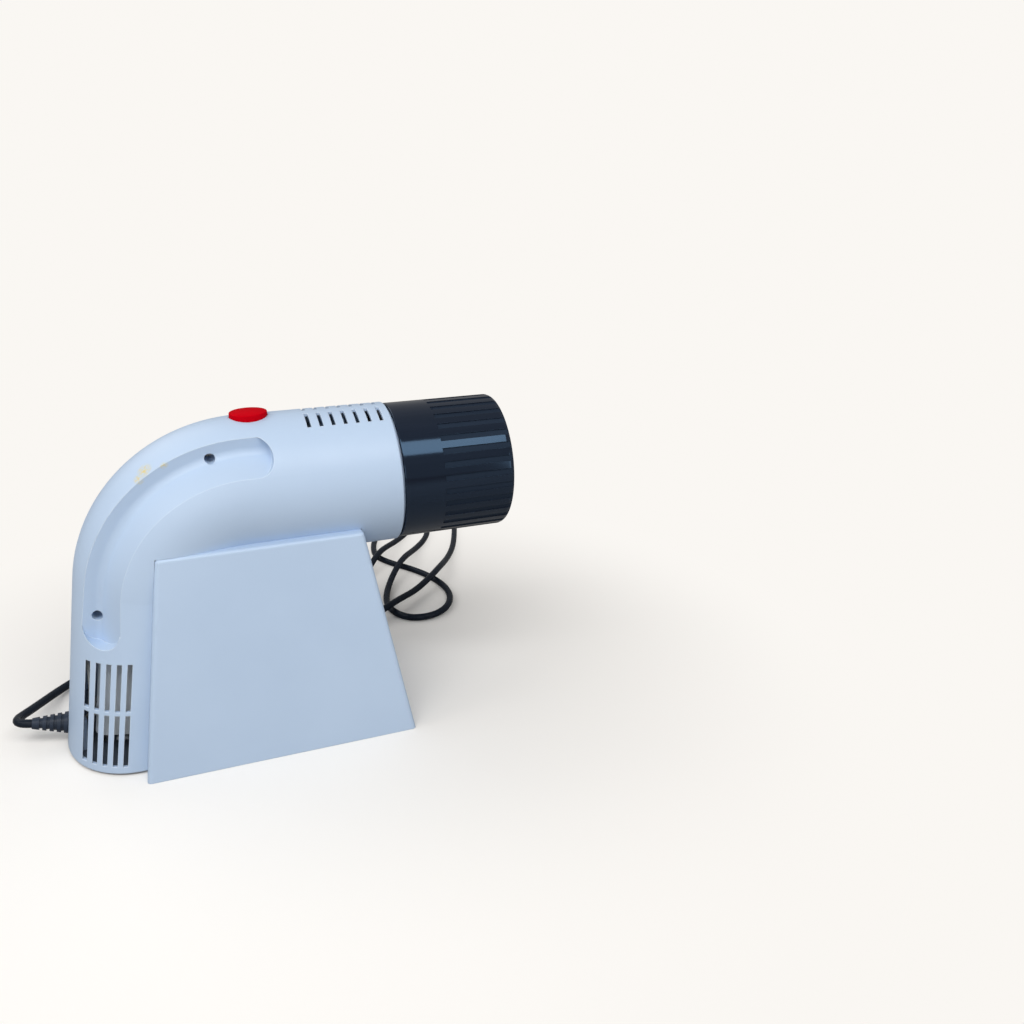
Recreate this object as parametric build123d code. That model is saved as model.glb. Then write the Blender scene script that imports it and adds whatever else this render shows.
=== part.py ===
from build123d import *
import os
from math import cos, sin, tan, radians, sqrt, pi

# Opaque projector: a J-shaped housing of two half shells stands on a tapered copy hood.
# Frame: +X is the way the lens points, +Z is up, z = 0 is the table, Y = 0 is the mould split.
# The origin is the centre of the footprint, without the mains cord.

# ---------------------------------------------------------------- driving dimensions (mm)
WALL = 2.6                  # moulded wall of housing and hood
FIT = 0.3                   # gap between pieces that are fitted into each other
RUNNING = 0.08              # radial running clearance of pieces that slide or turn
SEAT = 0.1                  # gap of pieces that are clamped or screwed together
CUT = 5.0                   # how far a cutting shape runs past what it cuts
BIG = 400.0                 # longer than the whole part

BODY_LENGTH = 262.6         # column heel to the front lip of the tube
TUBE_R = 54.8               # outside of the horizontal tube
TUBE_AXIS_Z = 188.5
ELBOW_R = 130.0             # outer radius of the big bend, in the side view
LEAN = 10.2                 # degrees that the column leans back towards its foot
FOOT_Z = 2.0                # column's lower edge above the table
FOOT_HALF_WIDTH = 67.0      # half the width of the column at its foot
FOOT_FLARE = 1.2            # power of the column's widening
LIP_RECESS = 2.0            # front wall behind the lip
LIP_ROUND = 1.2

HOOD_LENGTH = 199.0         # copy hood at the table
HOOD_WIDTH = 165.0
HOOD_TOP_LENGTH = 146.8
HOOD_TOP_WIDTH = 112.0
HOOD_HEIGHT = 160.0
HOOD_REAR_SLOPE = 26.2      # how far the rear wall comes forward from bottom to top
HOOD_HEEL = 57.4            # hood's rear edge in front of the column's heel
HOOD_CORNER_R = 3.5
HOOD_TOP_R = 2.4

GRIP_APEX = 34.0            # deepest line of the finger grip, outside the tube's centre line
GRIP_APEX_Y = 27.5          # its distance from the split
GRIP_WALL_RISE = 0.23       # slope of the grip's upper wall
GRIP_FLOOR_RISE = 1.8       # slope of the grip's floor
GRIP_ROUND = 6.0            # round along the deepest line
GRIP_MIDDLE = 33.5          # middle line of the grip, outside the tube's centre line
GRIP_END_R = 12.5           # round ends of the grip
GRIP_FRONT = 7.0            # straight run of the grip in front of the bend
GRIP_LOW = 26.0             # straight run of the grip below the bend
GRIP_CUT_OUT = 45.0         # reach of the grip's cutting profile away from the bend's centre
GRIP_CUT_IN = 27.0          # and towards it

TOP_SLOT_COUNT = 7
TOP_SLOT_PITCH = 9.0
TOP_SLOT_WIDTH = 2.9
TOP_SLOT_FROM_LIP = 7.8
TOP_SLOT_BRIDGE = 7.5       # bridge along the crown, all of it on the right-hand half
TOP_SLOT_OUTER_Y = 26.0
SIDE_SLOT_COUNT = 5
SIDE_SLOT_PITCH = 7.0
SIDE_SLOT_WIDTH = 3.2
SIDE_SLOT_FIRST = 13.0      # first slot behind the column's centre line
SIDE_SLOT_LOW_Z = 6.8
SIDE_SLOT_TOP_Z = 84.3
SIDE_SLOT_RIB_Z = 47.2      # rib that crosses the side slots
SIDE_SLOT_RIB_H = 2.8
SIDE_SLOT_FROM_Y = 29.0     # the slots' cutters start here, clear of what stands in the column

PLATE_Z = 2.4               # underside of the base plate
PLATE_T = 3.0
COPY_SIZE = 127.0           # square copy window
GLASS_T = 2.2
GLASS_LEDGE = 3.0
VENT_COUNT = 4              # cooling slots in the base plate, under the lamp
VENT_PITCH = 9.0
VENT_WIDTH = 4.0
VENT_LENGTH = 44.0
NOTCH_DEPTH = 14.0          # notch in the plate's rear edge, round the strain relief
NOTCH_GAP = 1.0

NECK_R = 50.3               # focus tube that the barrel slides on
NECK_T = 2.3
NECK_FLANGE_R = 51.9
NECK_FLANGE_T = 2.6
NECK_RIB_T = 2.2            # rib behind the flange, in each housing half
NECK_RIB_R = 49.4
STOP_BEAD = 0.55            # height of the stop bead at the tube's front end
BEAD_LENGTH = 2.0
FOCUS_TRAVEL = 45.0

BARREL_LENGTH = 88.2
BARREL_GAP = 1.6            # barrel's rear edge to the lip when it is pushed in
BARREL_R = 53.6
BARREL_BORE_R = 51.3
BARREL_SMOOTH = 31.5        # plain band at the rear
BARREL_FRONT_ROUND = 5.0
BARREL_REAR_ROUND = 1.0
GRIP_RIBS = 32
GROOVE_DEPTH = 0.8
GROOVE_SHARE = 0.45         # share of the rib pitch that is groove
APERTURE_R = 40.6
FRONT_FLANGE_T = 5.0
FRONT_BEVEL = 2.5           # how far the front face falls back at the aperture
LINER_LENGTH = 12.0
LINER_INSET = 3.5           # liner's rear edge from the barrel's rear edge
LINER_GROOVE = 0.6          # depth of the groove that holds the liner

LENS_R = 46.0
LENS_EDGE = 2.5
LENS_SAG = 3.2
LENS_AIR = 1.5              # gap between the two curved faces
CELL_LIP_T = 1.2
CELL_LIP_R = 43.0
RETAINER_T = 1.8
SPACER_R = 44.4
LENS_GAP = 0.2              # lenses in their cell

MIRROR_T = 3.0
MIRROR_HALF = 41.0
MIRROR_TOP_HALF = 32.0
MIRROR_LOW = 56.0           # mirror below its centre, along its slope
MIRROR_HIGH = 48.0          # and above it
MIRROR_SHOULDER = 14.0      # length of its clipped upper corners
SHEET_T = 1.2               # sheet steel of the brackets
BRACKET_EAR_Y = 43.4        # inner face of the mirror bracket's ears
BRACKET_EAR_LOW = -34.0     # the ears' ends along the mirror's slope
BRACKET_EAR_HIGH = 4.0
BRACKET_EAR_DEPTH = 16.0
PEG_LOW = -26.0             # the two pegs' places along the mirror's slope
PEG_HIGH = -4.0
PEG_BEHIND = 6.5            # pegs behind the bracket's sheet
PEG_R = 2.2
PEG_BOSS_R = 4.2
PEG_LENGTH = 3.0

BUTTON_X = -16.0
BUTTON_R = 13.8
BUTTON_TOP_Z = 247.3
BUTTON_EDGE_DROP = 1.0      # fall of the domed top from its middle to its edge
BUTTON_EDGE_ROUND = 0.8
BUTTON_TRAVEL = 3.0
BUTTON_WALL = 2.0
BUTTON_FLANGE_R = 16.3
BUTTON_FLANGE_T = 1.8
BUTTON_FLANGE_Z = 236.2     # underside of the flange
BUTTON_STEM_R = 4.0
COLLAR_T = 2.0
COLLAR_LOW_Z = 230.5
SHELF_Z = 221.0             # underside of the switch's shelf
SHELF_T = 2.0
SHELF_HALF = 13.0
SWITCH_LENGTH = 17.0
SWITCH_WIDTH = 14.0
SWITCH_HEIGHT = 13.0
SWITCH_NECK_R = 5.0
SWITCH_NECK_ABOVE = 2.0     # threaded neck above its nut
SWITCH_NUT_R = 7.5
SWITCH_NUT_T = 1.8
PLUNGER_R = 2.4
PLUNGER_TOP_Z = 233.4
PLUNGER_LENGTH = 13.0
SPRING_R = 9.6
SPRING_WIRE_R = 0.5
SPRING_TURNS = 4

BULB_R = 30.0
BULB_H = 84.0               # glass above the cap
BULB_WALL = 1.0
BULB_SHOULDER = 38.0        # degrees below the ball's middle where the neck begins
BULB_NECK_GAP = 0.2         # neck in the cap
BULB_NECK_H = 12.0          # straight part of the neck
BULB_NECK_FLARE = 0.5
LAMP_CAP_R = 13.0
LAMP_CAP_H = 26.0
LAMP_CAP_T = 0.8
LAMP_CAP_FLOOR = 2.0
SOCKET_R = 17.5
SOCKET_H = 30.0
SOCKET_FLOOR = 6.0
BRACKET_H = 13.0            # socket bracket above the foot, along the column
BRACKET_HALF = 20.0
LAMP_EAR_Y = 43.0           # inner face of the socket bracket's ears
LAMP_EAR_HALF = 8.0
LAMP_EAR_H = 20.0
SHIELD_T = 0.8
SHIELD_REAR = 34.6
SHIELD_HALF = 40.5
SHIELD_CORNER_R = 8.0
SHIELD_FRONT = 5.0          # the shield's side edges behind the column's centre line
SHIELD_LOW = 24.0
SHIELD_TOP = 82.0
SHIELD_LEG_HALF = 12.0

SCREW_R = 1.5
SCREW_HEAD_R = 3.1
SCREW_HEAD_T = 1.5
BOSS_R = 4.6
BOSS_WEB_T = 2.4
HOLE_EXTRA = 1.0            # holes run this much deeper than what goes in
HEAD_HOLE_R = 3.75
CASE_SCREW_LENGTH = 28.0
CASE_HEAD_DEPTH = 9.0       # screw heads from the mould split
CASE_BOSS_R = 5.8
CASE_BOSS_IN = 6.0          # bosses run this far into the grip's wall
CASE_UPPER_OUT = 1.5        # upper case screw outside the grip's deepest line
CASE_UPPER_TURN = 12.2      # and degrees behind the top of the bend
CASE_LOWER_OUT = 4.0
CASE_LOWER_TURN = 89.8
BASE_SCREW_LENGTH = 14.0
BASE_BOSS_H = 24.0
HOOD_BOSS_IN = 9.5          # hood's bosses from its rear and front edges
HOOD_BOSS_SIDE = 9.0        # and from its sides
COLUMN_BOSS_IN = 14.0       # column's bosses from its heel
COLUMN_BOSS_Y = 24.0
TAB_SCREW_LENGTH = 10.0
TAB_BOSS_H = 12.0
TAB_REAR_IN = 22.6          # tabs from the rear and front ends of the hood's top
TAB_FRONT_IN = 14.2
TAB_HALF = 6.0
TAB_DEPTH = 5.0             # tab inward of its screw
TAB_BOSS_SINK = 1.0         # bosses sunk into the tube's wall
EAR_SCREW_LENGTH = 8.0

RELIEF_H = 3.5              # strain relief above the foot, along the column
RELIEF_R = 8.4
RELIEF_TIP_R = 4.1
RELIEF_LENGTH = 25.0
RELIEF_RIBS = 5
RELIEF_RIB_DEPTH = 1.1
RELIEF_RIB_SHARE = 0.55     # share of the ribs' pitch that is rib
RELIEF_HOLE_R = 7.0
RELIEF_FLANGE_R = 8.4
RELIEF_FLANGE_T = 2.0
RELIEF_WAIST_GAP = 0.8      # inner flange off the wall's crown, because the wall is curved
CORD_R = 3.25
CORD_TABLE_GAP = 0.05
LEAD_R = 1.1
LEAD_OFF_WALL = 4.2         # leads clipped along the rear wall
LEAD_DROP = 7.0             # the switch's terminals below its shelf
COIL_R = 36.1               # middle of the coil
COIL_X = 10.0
COIL_ENTRY_Y = 199.4        # the cord's way into the coil
COIL_SPREAD = 6.8           # the lower turn ends this far inside its start
COIL_PITCH = 6.6            # the upper turn lies this far above it
COIL_STUB_IN = 44.0         # straight cord before and after the turns
COIL_STUB_OUT = 40.0
PLUG_LENGTH = 32.0
PLUG_ROUND = 5.0
PLUG_REAR_ROUND = 4.0
PLUG_WIDTH = 25.0
PLUG_HEIGHT = 19.0
PLUG_NECK_LENGTH = 12.0
PLUG_NECK_R = 4.5
PLUG_NECK_ROOT_R = 7.0
BLADE_LENGTH = 17.0
BLADE_WIDTH = 6.3
BLADE_T = 1.5
BLADE_SPREAD = 12.7
BLADE_ROUND = 2.0
TERMINAL_X = 21.5           # flat rear face of the socket's terminals, behind the lamp's axis
TERMINAL_H = 23.0
TERMINAL_Y = 4.0
TERMINAL_BLOCK_WIDTH = 14.0
TERMINAL_BLOCK_H = 10.0
TERMINAL_BLOCK_SINK = 3.0

# ---------------------------------------------------------------- places worked out from them
lean_x = sin(radians(LEAN))
lean_z = cos(radians(LEAN))
total_length = BODY_LENGTH + BARREL_GAP + BARREL_LENGTH
rear_x = -total_length / 2
lip_x = rear_x + BODY_LENGTH
barrel_rear_x = lip_x + BARREL_GAP
front_x = barrel_rear_x + BARREL_LENGTH
wall_front_x = lip_x - LIP_RECESS
wall_rear_x = wall_front_x - WALL

elbow_z = TUBE_AXIS_Z + TUBE_R - ELBOW_R
path_r = ELBOW_R - TUBE_R
tangent_z = elbow_z + ELBOW_R * lean_x
elbow_x = rear_x + (tangent_z - FOOT_Z) * tan(radians(LEAN)) + ELBOW_R * lean_z
bend_end = (elbow_x - path_r * lean_z, 0, elbow_z + path_r * lean_x)
column_h = (bend_end[2] - FOOT_Z) / lean_z
column_foot = (bend_end[0] - column_h * lean_x, 0, FOOT_Z)
elbow_axis = Axis((elbow_x, 0, elbow_z), (0, -1, 0))
bend_angle = 90 - LEAN

hood_rear_x = rear_x + HOOD_HEEL
hood_front_x = hood_rear_x + HOOD_LENGTH
copy_x = (hood_rear_x + hood_front_x) / 2
hood_top_rear_x = hood_rear_x + HOOD_REAR_SLOPE
hood_top_front_x = hood_top_rear_x + HOOD_TOP_LENGTH
hood_draft = (HOOD_WIDTH - HOOD_TOP_WIDTH) / 2 / HOOD_HEIGHT

# Column frame: its x points forward, its z runs up the leaning centre line, from the foot.
column = Plane(origin=column_foot, x_dir=(lean_z, 0, -lean_x), z_dir=(lean_x, 0, lean_z))

# Mirror frame: its x runs up the 45 degree slope and its z points to the mirror's back.
mirror_frame = Plane(origin=(copy_x, 0, TUBE_AXIS_Z), x_dir=(1, 0, 1), z_dir=(-1, 0, 1))


# ---------------------------------------------------------------- small helpers
def rod(radius, x0, x1, z=TUBE_AXIS_Z):
    """Round bar along X."""
    return Pos((x0 + x1) / 2, 0, z) * Rot(0, 90, 0) * Cylinder(radius, x1 - x0)


def ring(outer, inner, x0, x1):
    """Flat ring about the tube's axis."""
    return rod(outer, x0, x1) - rod(inner, x0 - CUT, x1 + CUT)


def post(x, y, z0, z1, radius):
    """Upright round bar."""
    return Pos(x, y, (z0 + z1) / 2) * Cylinder(radius, z1 - z0)


def cross_bar(x, z, y0, y1, radius):
    """Round bar across the split, along Y."""
    return Pos(x, (y0 + y1) / 2, z) * Rot(90, 0, 0) * Cylinder(radius, abs(y1 - y0))


def slab(x0, x1, y0, y1, z0, z1):
    """Box from corner to corner."""
    size = (x1 - x0, y1 - y0, z1 - z0)
    return Pos((x0 + x1) / 2, (y0 + y1) / 2, (z0 + z1) / 2) * Box(*size)


def half(shape, side):
    """The part of a shape on one side of the split: -1 is the right-hand half, 1 the left."""
    return shape & slab(-BIG, BIG, min(0, side * BIG), max(0, side * BIG), -BIG, BIG)


def on_bend(r, degrees):
    """Point on the bend: r outside the tube's centre line, degrees behind the top."""
    a = radians(degrees)
    reach = path_r + r
    return (elbow_x - reach * sin(a), elbow_z + reach * cos(a))


def tube_along(points, radii, radius):
    """Round wire or cord along straight runs joined by tangent arcs."""
    path = FilletPolyline(*points, radius=radii)
    start = Plane(origin=path @ 0, z_dir=path % 0)
    return sweep(start * Circle(radius), path=path)


def bend_radii(points):
    """For each corner of a route: 0.45 of the shorter run over the tangent of half the turn."""
    radii = []
    for a, b, c in zip(points, points[1:], points[2:]):
        run_in = Vector(*b) - Vector(*a)
        run_out = Vector(*c) - Vector(*b)
        turn = run_in.get_angle(run_out)
        radii.append(0.45 * min(run_in.length, run_out.length) / tan(radians(turn / 2)))
    return radii


# ---------------------------------------------------------------- the J-shaped body
def column_half_width(h):
    """Half width of the column at height h along it: it widens towards the foot."""
    drop = max(0.0, (column_h - h) / column_h)
    return TUBE_R + (FOOT_HALF_WIDTH - TUBE_R) * drop ** FOOT_FLARE


def j_body(inset, front):
    """Tube, bend and column as one solid, all its sides moved in by inset."""
    r = TUBE_R - inset
    tube = rod(r, elbow_x, front)
    start = Plane(origin=(elbow_x, 0, TUBE_AXIS_Z), x_dir=(0, 1, 0), z_dir=(1, 0, 0))
    bend = revolve(start * Circle(r), axis=elbow_axis, revolution_arc=bend_angle)
    heights = [column_h * step / 4 for step in (4, 3, 2, 1, 0)] + [-column_h / 8]
    sections = []
    for h in heights:
        width = column_half_width(h) - inset
        sections.append(column.offset(h) * Ellipse(r, width))
    return tube + bend + loft(sections)


def grip_profile(grow):
    """Section of the finger grip: x is the distance from the bend's centre, y from the split."""
    apex = (path_r + GRIP_APEX, GRIP_APEX_Y)
    wall_end = (apex[0] + GRIP_CUT_OUT, apex[1] + GRIP_CUT_OUT * GRIP_WALL_RISE)
    floor_end = (apex[0] - GRIP_CUT_IN, apex[1] + GRIP_CUT_IN * GRIP_FLOOR_RISE)
    outside = (wall_end[0], floor_end[1])
    face = make_face(Polyline(apex, wall_end, outside, floor_end, close=True))
    deepest = face.vertices().sort_by(Axis.Y)[0]
    face = fillet(deepest, GRIP_ROUND)
    if grow:
        face = offset(face, amount=grow, kind=Kind.INTERSECTION)
    return face


def grip(side, grow):
    """The finger grip as a solid to cut away; grow widens it for the inside of the shell."""
    profile = grip_profile(grow)
    top = Plane(origin=(elbow_x, 0, elbow_z), x_dir=(0, 0, 1), z_dir=(-side, 0, 0))
    low = Plane(origin=(elbow_x, 0, elbow_z), x_dir=(-lean_z, 0, lean_x),
                z_dir=(-side * lean_x, 0, -side * lean_z))
    end_r = GRIP_END_R + grow
    front_x_end = elbow_x + GRIP_FRONT
    mid_r = path_r + GRIP_MIDDLE
    bend = revolve(top * profile, axis=elbow_axis, revolution_arc=bend_angle)
    front = extrude(top * profile, amount=-side * GRIP_FRONT)
    front_end = extrude(top * profile, amount=-side * (GRIP_FRONT + end_r + CUT))
    front_end &= cross_bar(front_x_end, elbow_z + mid_r, 0, side * BIG, end_r)
    lower = extrude(low * profile, amount=side * GRIP_LOW)
    lower_end = extrude(low * profile, amount=side * (GRIP_LOW + end_r + CUT))
    low_x = elbow_x - mid_r * lean_z - GRIP_LOW * lean_x
    low_z = elbow_z + mid_r * lean_x - GRIP_LOW * lean_z
    lower_end &= cross_bar(low_x, low_z, 0, side * BIG, end_r)
    return bend + front + front_end + lower + lower_end


def hood_block(inset):
    """The hood's tapered block, its sides and top moved in by inset."""
    low = -CUT if inset else 0.0
    top = HOOD_HEIGHT - inset
    sections = []
    for z in (low, top):
        rise = z / HOOD_HEIGHT
        x0 = hood_rear_x + HOOD_REAR_SLOPE * rise + inset
        x1 = hood_front_x - (hood_front_x - hood_top_front_x) * rise - inset
        half_width = HOOD_WIDTH / 2 - hood_draft * z - inset
        face = Plane.XY.offset(z) * Pos((x0 + x1) / 2, 0, 0) * Rectangle(x1 - x0, 2 * half_width)
        sections.append(face)
    return loft(sections, ruled=True)


def inner_half_width(x, z):
    """Half width of the tube's or bend's cavity at a place in the side view."""
    if x > elbow_x:
        off = z - TUBE_AXIS_Z
    else:
        off = sqrt((x - elbow_x) ** 2 + (z - elbow_z) ** 2) - path_r
    return sqrt((TUBE_R - WALL) ** 2 - off ** 2)


# ---------------------------------------------------------------- places of screws and pegs
grip_screw_places = (on_bend(GRIP_APEX + CASE_UPPER_OUT, CASE_UPPER_TURN),
                     on_bend(GRIP_APEX + CASE_LOWER_OUT, CASE_LOWER_TURN))
tab_xs = (hood_top_rear_x + TAB_REAR_IN, hood_top_front_x - TAB_FRONT_IN)
hood_boss_x = (hood_rear_x + HOOD_BOSS_IN, hood_front_x - HOOD_BOSS_IN)
hood_boss_y = HOOD_WIDTH / 2 - HOOD_BOSS_SIDE
column_boss_x = rear_x + COLUMN_BOSS_IN
hood_boss_places = [(x, y) for x in hood_boss_x for y in (-hood_boss_y, hood_boss_y)]
base_boss_places = hood_boss_places + [(column_boss_x, -COLUMN_BOSS_Y), (column_boss_x, COLUMN_BOSS_Y)]
plate_top_z = PLATE_Z + PLATE_T


def tab_boss_y(x):
    """The tab screws stand close to the inside of the tube's wall."""
    return inner_half_width(x, HOOD_HEIGHT) - BOSS_R + TAB_BOSS_SINK


def screw(length):
    """Pan-head screw pointing up, its head's bearing face at z = 0."""
    head = Pos(0, 0, -SCREW_HEAD_T / 2) * Cylinder(SCREW_HEAD_R, SCREW_HEAD_T)
    return head + Pos(0, 0, length / 2) * Cylinder(SCREW_R, length)


def screw_hole(length):
    """The thread's hole in a boss, from its mouth at z = 0 up; screw and boss are one fit."""
    return Pos(0, 0, length / 2) * Cylinder(SCREW_R + RUNNING, length)


# ---------------------------------------------------------------- housing halves
def side_slots(side):
    """Upright slots in the side of the column, with level ends and one level rib across them."""
    low_part = slab(-BIG, BIG, -BIG, BIG, SIDE_SLOT_LOW_Z, SIDE_SLOT_RIB_Z - SIDE_SLOT_RIB_H / 2)
    top_part = slab(-BIG, BIG, -BIG, BIG, SIDE_SLOT_RIB_Z + SIDE_SLOT_RIB_H / 2, SIDE_SLOT_TOP_Z)
    y = side * (SIDE_SLOT_FROM_Y + FOOT_HALF_WIDTH / 2)
    cutters = []
    for index in range(SIDE_SLOT_COUNT):
        x = -SIDE_SLOT_FIRST - index * SIDE_SLOT_PITCH
        leaning = column * Pos(x, y, 0) * Box(SIDE_SLOT_WIDTH, FOOT_HALF_WIDTH, BIG)
        cutters += [leaning & low_part, leaning & top_part]
    return cutters


def top_slots(side):
    """Cooling slots over the tube; the left-hand half's are open at the split."""
    inner_y = TOP_SLOT_BRIDGE if side < 0 else -CUT
    cutters = []
    mid_y = side * (inner_y + TOP_SLOT_OUTER_Y) / 2
    for index in range(TOP_SLOT_COUNT):
        x = lip_x - TOP_SLOT_FROM_LIP - index * TOP_SLOT_PITCH
        cutter = Box(TOP_SLOT_WIDTH, TOP_SLOT_OUTER_Y - inner_y, TUBE_R)
        cutters.append(Pos(x, mid_y, TUBE_AXIS_Z + TUBE_R) * cutter)
    return cutters


def peg_places():
    """The mirror bracket's pegs in the side view."""
    behind = MIRROR_T + SHEET_T + PEG_BEHIND
    for along in (PEG_LOW, PEG_HIGH):
        spot = mirror_frame.from_local_coords(Vector(along, 0, behind))
        yield spot.X, spot.Z


def ear_screw_place():
    """The socket bracket's ear screws in the side view."""
    spot = column.from_local_coords(Vector(0, 0, BRACKET_H + SHEET_T + 0.6 * LAMP_EAR_H))
    return spot.X, spot.Z


def bare_half():
    """Right-hand shell, hollowed, with the front wall and cut to sit on the hood."""
    outer = half(j_body(0, lip_x), -1)
    lip_edges = outer.faces().sort_by(Axis.X)[-1].edges().filter_by(GeomType.CIRCLE)
    outer = fillet(lip_edges, LIP_ROUND)
    inner = half(j_body(WALL, wall_rear_x), -1) - grip(-1, WALL)
    shell = outer - grip(-1, 0) - inner
    shell -= rod(TUBE_R - WALL, wall_front_x, lip_x + CUT)
    shell -= rod(NECK_R + SEAT, wall_rear_x - CUT, lip_x)
    rib_front = wall_rear_x - NECK_FLANGE_T - SEAT
    rib = ring(TUBE_R - 0.5 * WALL, NECK_RIB_R, rib_front - NECK_RIB_T, rib_front)
    shell += half(rib, -1)
    shell -= slab(-BIG, BIG, -BIG, BIG, -BIG, FOOT_Z)
    return shell - hood_block(0), inner


def inner_fittings(side, cavity):
    """Bosses, pegs, collar and shelf moulded inside one half, clipped to its cavity."""
    wall_y = side * TUBE_R
    parts = []
    for x, z in peg_places():
        parts.append(cross_bar(x, z, side * (BRACKET_EAR_Y + SHEET_T + SEAT), wall_y, PEG_BOSS_R))
        parts.append(cross_bar(x, z, side * (BRACKET_EAR_Y - PEG_LENGTH), wall_y, PEG_R))
    x, z = ear_screw_place()
    ear_boss = cross_bar(x, z, side * (LAMP_EAR_Y + SHEET_T), side * BIG, BOSS_R)
    hole_end = LAMP_EAR_Y + EAR_SCREW_LENGTH + HOLE_EXTRA
    parts.append(ear_boss - cross_bar(x, z, 0, side * hole_end, SCREW_R + RUNNING))
    for x in tab_xs:
        y = side * tab_boss_y(x)
        z0 = HOOD_HEIGHT
        boss = post(x, y, z0, z0 + TAB_BOSS_H, BOSS_R)
        boss += slab(x - BOSS_WEB_T / 2, x + BOSS_WEB_T / 2, min(y, wall_y), max(y, wall_y),
                     z0, z0 + TAB_BOSS_H)
        parts.append(boss - Pos(x, y, z0) * screw_hole(TAB_SCREW_LENGTH))
    y = side * COLUMN_BOSS_Y
    foot_boss = post(column_boss_x, y, plate_top_z, plate_top_z + BASE_BOSS_H, BOSS_R)
    parts.append(foot_boss - Pos(column_boss_x, y, plate_top_z) * screw_hole(BASE_SCREW_LENGTH))
    collar = post(BUTTON_X, 0, COLLAR_LOW_Z, BUTTON_TOP_Z, BUTTON_FLANGE_R + FIT + COLLAR_T)
    collar -= post(BUTTON_X, 0, 0, BIG, BUTTON_FLANGE_R + FIT)
    parts.append(collar)
    shelf = slab(BUTTON_X - SHELF_HALF, BUTTON_X + SHELF_HALF, -TUBE_R, TUBE_R,
                 SHELF_Z, SHELF_Z + SHELF_T)
    parts.append(shelf - post(BUTTON_X, 0, 0, BIG, SWITCH_NECK_R + SEAT))
    clipped = []
    for part in parts:
        kept = half(part, side) & cavity
        clipped.append(kept)
    return clipped


def housing(side):
    """One half of the J-shaped housing: -1 is the right-hand half, 1 the left."""
    shell, cavity = bare_half()
    if side > 0:
        shell = mirror(shell, Plane.XZ)
        cavity = mirror(cavity, Plane.XZ)
    for part in inner_fittings(side, cavity):
        shell += part
    for x, z in grip_screw_places:
        boss = cross_bar(x, z, 0, side * (GRIP_APEX_Y + CASE_BOSS_IN), CASE_BOSS_R)
        shell += boss & cavity
        if side < 0:
            shell -= cross_bar(x, z, -CASE_HEAD_DEPTH, -BIG, HEAD_HOLE_R)
            shell -= cross_bar(x, z, CUT, -BIG, SCREW_R + FIT)
        else:
            shell -= cross_bar(x, z, -CUT, CASE_SCREW_LENGTH - CASE_HEAD_DEPTH, SCREW_R + RUNNING)
    shell -= side_slots(side)
    shell -= top_slots(side)
    shell -= post(BUTTON_X, 0, BUTTON_FLANGE_Z, BIG, BUTTON_R + FIT)
    relief_hole = Rot(0, 90, 0) * Cylinder(RELIEF_HOLE_R, 2 * (WALL + CUT))
    return shell - column * Pos(-TUBE_R, 0, RELIEF_H) * relief_hole


# ---------------------------------------------------------------- hood, base and copy window
def copy_hood():
    block = hood_block(0)
    upright = [e for e in block.edges() if abs(e.center().Z - HOOD_HEIGHT / 2) < 1]
    block = fillet(upright, HOOD_CORNER_R)
    block = fillet(block.faces().sort_by(Axis.Z)[-1].edges(), HOOD_TOP_R)
    inside = hood_block(WALL)
    shell = block - inside - j_body(WALL, wall_rear_x)
    for x in tab_xs:
        for side in (-1, 1):
            y = side * tab_boss_y(x)
            tab_in = y - side * TAB_DEPTH
            tab_out = side * (TUBE_R - WALL / 2)
            tab = slab(x - TAB_HALF, x + TAB_HALF, min(tab_in, tab_out), max(tab_in, tab_out),
                       HOOD_HEIGHT - WALL, HOOD_HEIGHT)
            shell += tab - post(x, y, 0, BIG, SCREW_R + FIT)
    for x, y in hood_boss_places:
        boss = post(x, y, plate_top_z, plate_top_z + BASE_BOSS_H, BOSS_R)
        boss -= Pos(x, y, plate_top_z) * screw_hole(BASE_SCREW_LENGTH)
        shell += boss & block
    return shell


def base_plate():
    """Floor inside the hood's rim and the column's foot, with the copy window."""
    floor = slab(-BIG, BIG, -BIG, BIG, PLATE_Z, plate_top_z)
    plate = (floor & hood_block(WALL + FIT)) + (floor & j_body(WALL + FIT, wall_rear_x))
    half_window = COPY_SIZE / 2
    half_glass = half_window + GLASS_LEDGE
    glass_z = plate_top_z - GLASS_T
    top = plate_top_z + CUT
    plate -= slab(copy_x - half_window, copy_x + half_window, -half_window, half_window, 0, top)
    plate -= slab(copy_x - half_glass - FIT, copy_x + half_glass + FIT,
                  -half_glass - FIT, half_glass + FIT, glass_z, top)
    for index in range(VENT_COUNT):
        x = column_foot[0] + (index - VENT_COUNT + 1) * VENT_PITCH
        plate -= slab(x - VENT_WIDTH / 2, x + VENT_WIDTH / 2, -VENT_LENGTH / 2, VENT_LENGTH / 2, 0, top)
    for x, y in base_boss_places:
        plate -= post(x, y, 0, top, SCREW_R + FIT)
        plate -= post(x, y, 0, PLATE_Z + SCREW_HEAD_T, SCREW_HEAD_R + FIT)
    notch = RELIEF_FLANGE_R + NOTCH_GAP
    return plate - slab(-BIG, column_foot[0] - TUBE_R + NOTCH_DEPTH, -notch, notch, 0, top)


def copy_glass():
    half_glass = COPY_SIZE / 2 + GLASS_LEDGE
    return slab(copy_x - half_glass, copy_x + half_glass, -half_glass, half_glass,
                plate_top_z - GLASS_T, plate_top_z)


# ---------------------------------------------------------------- focus tube and lens barrel
liner_rear_x = barrel_rear_x + LINER_INSET
liner_front_x = liner_rear_x + LINER_LENGTH
neck_front_x = liner_front_x + FOCUS_TRAVEL + SEAT + BEAD_LENGTH
flange_rear_x = front_x - FRONT_FLANGE_T


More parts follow.
